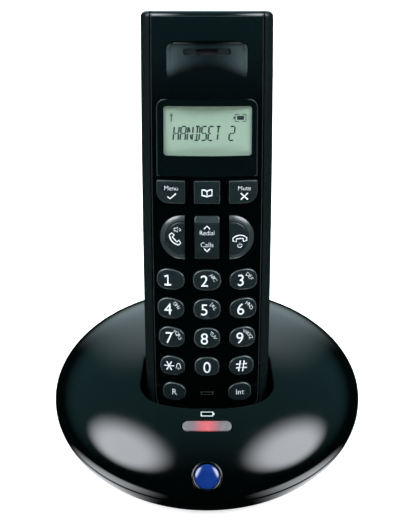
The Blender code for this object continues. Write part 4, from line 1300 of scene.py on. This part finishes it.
def key_cap(name, profile, outline, dish):
    """Number and soft keys: a rounded rim and a dished or crowned face."""
    last = outline(profile[-1][0])
    heights = [z for _, z in last]
    middle = (sum(x for x, _ in last) / len(last), 0.5 * (min(heights) + max(heights)))
    return rimmed(closed_cap(name, outline, profile, middle, dish), name, on_fillet, "key_rim")


def rounded_profile(fillet, top):
    """Side of a key and the fillet over its edge."""
    return [(0.0, -0.3)] + [(fillet * (1.0 - c), top - fillet + fillet * s) for s, c in quarter(5)]


def call_cap(name, column):
    """Call and end keys: a sloping rim round a raised face, cut off straight on the inside."""
    def outline(inset):
        return call_key_outline(column, inset, 0.0)

    def on_slope(above, normal):
        return 0.0 < above < 0.72 and -0.98 < normal.y < -0.8

    profile = [(0.0, -0.3), (0.0, -0.12), (0.05, -0.03), (0.16, 0.04), (2.0, 0.74), (2.2, 0.74),
               (2.3, 0.55), (2.4, 0.55), (2.5, 0.84), (2.66, 0.92)]
    cap = closed_cap(name, outline, profile, (column * CALL_KEY_STRAIGHT_X, CALL_KEY_Z), 0.0)
    # Painted sheen: the sloping rim takes the lighter key_slope colour.
    return rimmed(cap, name, on_slope, "key_slope")


def navigation_cap(name):
    """Rocker with a sloping facet and rounded corners at its top and bottom ends."""
    _, wide, low, high = NAVIGATION_KEY
    facet, proud, corner, radius = 2.5, 0.95, 0.9, 0.3
    slope = proud / (facet - 0.1)
    ramp = [(t, -0.02 + slope * (t - 0.1)) for t in (0.1, 0.3, 0.55, 0.9, facet)]
    levels = [(low, -0.15)] + [(low + t, above) for t, above in ramp] + [(low + facet + 0.1, proud)]
    levels += [(low + facet + (high - low - 2.0 * facet) * i / 8.0, proud) for i in range(1, 8)]
    levels += [(high - facet - 0.1, proud)] + [(high - t, above) for t, above in reversed(ramp)]
    levels += [(high, -0.15)]
    across_steps = 14
    rings = []
    for z, above in levels:
        short = max(corner - min(z - low, high - z), 0.0)
        half = wide - corner + sqrt(corner ** 2 - short ** 2)
        edge = [(half - radius * (1.0 - c), radius * (1.0 - s)) for s, c in quarter(4)]
        flat = [((half - radius) * (2.0 * i / across_steps - 1.0), 0.0)
                for i in range(1, across_steps)]
        over = [(-x, drop) for x, drop in edge] + flat + edge[::-1]
        rings.append([(-half, KEY_STEM_Y, z)]
                     + [(x, face_depth(x) - above + drop, z) for x, drop in over]
                     + [(half, KEY_STEM_Y, z)])
    cap = loft(f"{name}_cap", rings, HANDSET)
    shade(cap.data, 14.0)
    # Painted highlight: the facets that face up take the lighter key_slope colour.
    return rimmed(cap, name, lambda above, normal: normal.z > 0.2 and normal.y < -0.3, "key_slope")


def letters_on_arc(letters, x, z):
    """Small letters that run down to the right along an arc."""
    height, pitch, turn, bend = 1.40, 1.12, -50.0, 16.0
    shapes = []
    for i, letter in enumerate(letters):
        step = i - 0.5 * (len(letters) - 1)
        along, fall = step * pitch, 0.13 * step * step
        c, s = cos(radians(turn)), sin(radians(turn))
        shapes.append(text_shape(letter, x + along * c + fall * s, z + along * s - fall * c,
                                 height, -0.03, turn - bend * step))
    return shapes


def one_shape(x, z, height):
    """Figure one with a flag and a foot."""
    pen = 0.72
    half = 0.5 * (height - pen)
    return [stroke_shape([(x - 1.25, z + half - 0.55), (x, z + half), (x, z - half)], pen),
            stroke_shape([(x - 1.35, z - half), (x + 1.3, z - half)], pen)]


def star_shape(x, z):
    shapes = []
    for turn in (0.0, 60.0, 120.0):
        u, v = 1.95 * cos(radians(turn)), 1.95 * sin(radians(turn))
        shapes.append(stroke_shape([(x - u, z - v), (x + u, z + v)], 0.46))
    return shapes


def bell_shape(x, z):
    """Small bell beside the star."""
    outline = [(x - 1.0, z - 0.8), (x - 0.75, z - 0.3), (x - 0.65, z + 0.4)]
    outline += arc(x, z + 0.4, 0.65, 180.0, 0.0, 8)
    outline += [(x + 0.75, z - 0.3), (x + 1.0, z - 0.8)]
    return [stroke_shape(outline, 0.24, True),
            stroke_shape([(x - 0.3, z - 1.15), (x + 0.3, z - 1.15)], 0.26),
            stroke_shape([(x, z + 1.05), (x, z + 1.3)], 0.24)]


def hash_shape(x, z):
    shapes = []
    for side in (-0.75, 0.75):
        shapes.append(stroke_shape([(x + side - 0.3, z - 2.1), (x + side + 0.3, z + 2.1)], 0.52))
        shapes.append(stroke_shape([(x - 2.1, z + side), (x + 2.1, z + side)], 0.52))
    return shapes


def handset_symbol(x, z, length, bow, pen, turn):
    """Outline of a telephone handset: a bowed grip with a cup at each end."""
    half, cup = 0.5 * length, 0.24 * length
    back = [(half * (2.0 * i / 12 - 1.0), bow * (1.0 - (2.0 * i / 12 - 1.0) ** 2)) for i in range(13)]
    belly = [(half - cup, -0.28 * length), (half - cup - 0.1, -0.06 * length),
             (0.0, bow - 0.24 * length), (-half + cup + 0.1, -0.06 * length),
             (-half + cup, -0.28 * length)]
    outline = back + [(half, -0.22 * length)] + belly + [(-half, -0.22 * length)]
    c, s = cos(radians(turn)), sin(radians(turn))
    return stroke_shape([(x + u * c - v * s, z + u * s + v * c) for u, v in outline], pen, True)


def legends():
    """Name of each key to the shapes printed on it."""
    marks = {}
    digit_height = 4.4
    words = {"key_2": "ABC", "key_3": "DEF", "key_4": "GHI", "key_5": "JKL", "key_6": "MNO",
             "key_7": "PQRS", "key_8": "TUV", "key_9": "WXYZ"}
    for row, names in enumerate(ROW_KEYS[:4]):
        for column, name in zip((-1, 0, 1), names):
            x, z = column * ROW_SIDE_X[row], ROW_Z[row]
            symbol = name[4:]
            shift = 0.0 if symbol == "0" else 1.0
            if symbol == "1":
                marks[name] = one_shape(x - shift, z - 0.25, digit_height)
            elif symbol.isdigit():
                marks[name] = [text_shape(symbol, x - shift, z - 0.25, digit_height)]
            if name in words:
                marks[name] += letters_on_arc(words[name], x + 2.45, z + 1.15)
    side, z = ROW_SIDE_X[3], ROW_Z[3]
    marks["key_star"] = star_shape(-side - 1.3, z) + bell_shape(-side + 2.3, z)
    marks["key_hash"] = hash_shape(side, z)
    side, z = ROW_SIDE_X[4], ROW_Z[4]
    marks["key_recall"] = [text_shape("R", -side, z, 2.3, -0.015)]
    marks["key_intercom"] = [text_shape("Int", side, z, 2.2, -0.015)]

    middle = 0.5 * (SOFT_KEY_X[0] + SOFT_KEY_X[1])
    z = 0.5 * (SOFT_KEY_Z[0] + SOFT_KEY_Z[1])
    x = -middle + 0.2
    marks["key_menu"] = [text_shape("Menu", x, z + 1.5, 1.7, -0.035),
                         stroke_shape([(x - 1.4, z - 1.7), (x - 0.4, z - 2.6),
                                       (x + 1.8, z - 0.5)], 0.44)]
    x = middle + 0.35
    marks["key_mute"] = [text_shape("Mute", x, z + 1.5, 1.7, -0.035),
                         stroke_shape([(x - 1.35, z - 2.9), (x + 1.35, z - 0.4)], 0.44),
                         stroke_shape([(x - 1.35, z - 0.4), (x + 1.35, z - 2.9)], 0.44)]
    page = [(0.0, -1.65), (0.8, -1.25), (1.85, -1.1), (1.85, 1.0), (0.9, 0.95), (0.0, 0.5)]
    marks["key_phonebook"] = [stroke_shape([(side * u, z + v) for u, v in page], 0.5, True)
                              for side in (-1, 1)]

    z = 0.5 * (NAVIGATION_KEY[2] + NAVIGATION_KEY[3])
    marks["key_navigation"] = [text_shape("Redial", 0.0, z + 2.1, 1.8, -0.035, stretch=0.92),
                               text_shape("Calls", 0.0, z - 2.5, 1.8, -0.035)]
    for up, at in ((1.0, 4.1), (-1.0, -4.6)):
        chevron = [(-1.1, z + at - 0.6 * up), (0.0, z + at + 0.55 * up), (1.1, z + at - 0.6 * up)]
        marks["key_navigation"].append(stroke_shape(chevron, 0.45))

    z = CALL_KEY_Z
    speaker = [(-0.9, -0.5), (-0.3, -0.5), (0.4, -0.95), (0.4, 0.95), (-0.3, 0.5), (-0.9, 0.5)]
    marks["key_call"] = [handset_symbol(-12.5, z - 0.9, 5.1, 0.9, 0.40, 132.0),
                         stroke_shape([(-11.5 + u, z + 3.1 + v) for u, v in speaker], 0.26, True),
                         stroke_shape([(-10.5, z + 2.6), (-10.0, z + 2.9), (-10.0, z + 3.3),
                                       (-10.5, z + 3.6)], 0.24)]
    marks["key_end"] = [handset_symbol(12.4, z - 0.1, 5.2, 1.0, 0.40, 0.0),
                        stroke_shape(arc(12.4, z - 3.0, 0.8, 130.0, 410.0), 0.22),
                        stroke_shape([(12.4, z - 2.9), (12.4, z - 2.0)], 0.22)]
    return marks


def keypad(outlines):
    caps = {}
    for name, outline in outlines.items():
        if name in ("key_call", "key_end"):
            caps[name] = call_cap(name, -1 if name == "key_call" else 1)
        elif name == "key_navigation":
            caps[name] = navigation_cap(name)
        elif name in ("key_menu", "key_phonebook", "key_mute"):
            caps[name] = key_cap(name, rounded_profile(SOFT_KEY_FILLET, KEY_PROUD), outline, 0.04)
        else:
            caps[name] = key_cap(name, rounded_profile(KEY_FILLET, KEY_PROUD), outline, 0.12)
    for name, shapes in legends().items():
        printed(f"{name}_legend", caps[name], shapes, name, face_ray)
    # The pip on key 5 is a flat mark in the lighter rim colour: a painted highlight of a raised pip.
    pip = stroke_shape([(-0.7, ROW_Z[1] - 3.1), (0.9, ROW_Z[1] - 3.1)], 0.36)
    printed("key_5_pip", caps["key_5"], [pip], "key_5", face_ray, look="key_rim")


# --- CAD pieces that are shown as they are -------------------------------------------------
CARRIED = {
    "gloss_black": ("base_bottom_shell",), "rubber": ("foot_", "keypad_membrane"),
    "steel": ("base_screw_", "handset_screw_"),
    "board": ("handset_circuit_board", "base_circuit_board"),
    "speaker": ("earpiece_speaker", "microphone", "ringer_speaker"),
    "contact": ("battery_contact_", "handset_contact_", "charging_pin_"),
    "battery": ("battery_left", "battery_right"), "socket": ("line_socket", "power_socket"),
    "light_bar": ("charge_led",)}


def finish_carried_nodes():
    for name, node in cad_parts.items():
        for slot, prefixes in CARRIED.items():
            if name.startswith(prefixes):
                node.data.materials.clear()
                node.data.materials.append(FINISHES[slot])


# --- Stage, light and camera ---------------------------------------------------------------
def stage_sheet(name, half_width_m, half_height_m, z_m, look, placement=UPRIGHT, seen=True):
    corners = ((-1, -1), (1, -1), (1, 1), (-1, 1))
    mesh = bpy.data.meshes.new(name)
    mesh.from_pydata([(x * half_width_m, y * half_height_m, z_m) for x, y in corners],
                     [], [(0, 1, 2, 3)])
    mesh.materials.append(look)
    sheet = linked(name, mesh, placement)
    sheet.visible_camera = seen
    return sheet


def floor():
    look = finish_of("floor_white", (0.86, 0.86, 0.86), (0.89, 0.89, 0.89), (0.8, 0.9), drift=80.0)
    shader = shader_of(look)
    shader.inputs["Emission Color"].default_value = (1.0, 1.0, 1.0, 1.0)
    shader.inputs["Emission Strength"].default_value = 0.8
    wide = stage_sheet("floor", 4.0, 4.0, -0.0004, look)
    wide.visible_glossy = False


def glowing_sheet(name, placement, width_m, height_m, radiance, soft, tint, disc):
    """A sheet that glows towards its own +Z, with soft edges. A disc fades with the distance
    from its middle, and any other sheet across its width and its height."""
    material, tree, output = new_material(name)
    half_width_m, half_height_m = 0.5 * width_m, 0.5 * height_m
    if disc:
        place = tree.nodes.new("ShaderNodeTexCoord")
        reach = tree.nodes.new("ShaderNodeVectorMath")
        reach.operation = "LENGTH"
        tree.links.new(place.outputs["Object"], reach.inputs[0])
        share = ranged(tree, reach.outputs["Value"], (half_width_m * (1.0 - soft), half_width_m),
                       (1.0, 0.0), True)
    else:
        parts = axes(tree)
        share = product_of(tree, *[
            ranged(tree, calculated(tree, "ABSOLUTE", parts[axis]),
                   (half * (1.0 - soft), half), (1.0, 0.0), True)
            for axis, half in (("X", half_width_m), ("Y", half_height_m))])
    glow = tree.nodes.new("ShaderNodeEmission")
    glow.inputs["Color"].default_value = (*tint, 1.0)
    glow.inputs["Strength"].default_value = radiance
    clear = tree.nodes.new("ShaderNodeBsdfTransparent")
    blend_surface(tree, share, clear, glow, output)
    return stage_sheet(name, half_width_m, half_height_m, 0.0, material, placement, seen=False)


def softbox(name, azimuth, elevation, width_m, height_m, radiance, soft, tint, disc):
    """A glowing sheet that faces the object. Azimuth 0 is in front, and 90 to the right."""
    a, e = radians(azimuth), radians(elevation)
    away = Vector((sin(a) * cos(e), -cos(a) * cos(e), sin(e)))
    placement = (Matrix.Translation(away * SOFTBOX_DISTANCE_M)
                 @ away.to_track_quat("Z", "Y").to_matrix().to_4x4())
    glowing_sheet(name, placement, width_m, height_m, radiance, soft, tint, disc)


def studio():
    for name, side in (("left", -1.0), ("right", 1.0)):
        softbox(f"softbox_{name}", side * 79.0, 49.0, 1.26, 1.26, 10.6, 0.64, (0.96, 1.0, 1.06), True)
        spot = Matrix.Translation((side * 0.056, -0.062, 0.0005))
        table = glowing_sheet(f"table_glow_{name}", spot, 0.076, 0.076, 5.0, 0.85,
                              (0.96, 1.0, 1.04), True)
        table.visible_diffuse = False
    softbox("softbox_rear", 180.0, 17.0, 1.62, 1.68, 1.3, 0.68, (0.78, 1.0, 1.05), False)
    world = bpy.data.worlds.new("studio")
    bpy.context.scene.world = world
    world.use_nodes = True
    tree = world.node_tree
    tree.nodes.clear()
    output = tree.nodes.new("ShaderNodeOutputWorld")
    way = axes(tree, "Generated")
    behind = ranged(tree, way["Y"], (-0.55, 0.45), (0.0, 1.0), True)
    above = ranged(tree, way["Z"], (0.0, 0.45), (0.0, 1.0), True)
    seen = tree.nodes.new("ShaderNodeBackground")
    tree.links.new(mixed_colour(tree, product_of(tree, behind, above), (0.003, 0.006, 0.006),
                                (0.11, 0.28, 0.30)), seen.inputs["Color"])
    plain = tree.nodes.new("ShaderNodeBackground")
    plain.inputs["Color"].default_value = (1.0, 1.0, 1.0, 1.0)
    plain.inputs["Strength"].default_value = 1.2
    path = tree.nodes.new("ShaderNodeLightPath")
    blend_surface(tree, path.outputs["Is Camera Ray"], seen, plain, output)
    bpy.context.scene.view_settings.view_transform = "Standard"


def camera():
    data = bpy.data.cameras.new("camera")
    data.lens = 86.4
    data.sensor_width = 36.0
    eye = linked("camera", data)
    eye.location = (0.0, -0.3805, 0.3526)
    eye.rotation_euler = (radians(53.97), 0.0, 0.0)
    bpy.context.scene.camera = eye


# --- Assembly ------------------------------------------------------------------------------
FINISHES = make_finishes()
camera()
studio()
floor()
finish_carried_nodes()
dome = base_cover()
base_trim(dome)
page_button()
bottom_skirt()
key_shapes = key_outlines()
handset_surface = handset_form("smooth_handset", 0.0)
handset_normals = SmoothForm(handset_surface)
bpy.data.objects.remove(handset_surface)
front_panel(key_shapes, handset_normals)
rear_shell(handset_normals)
battery_door(handset_normals)
panel_beads()
slot_details()
display()
keypad(key_shapes)
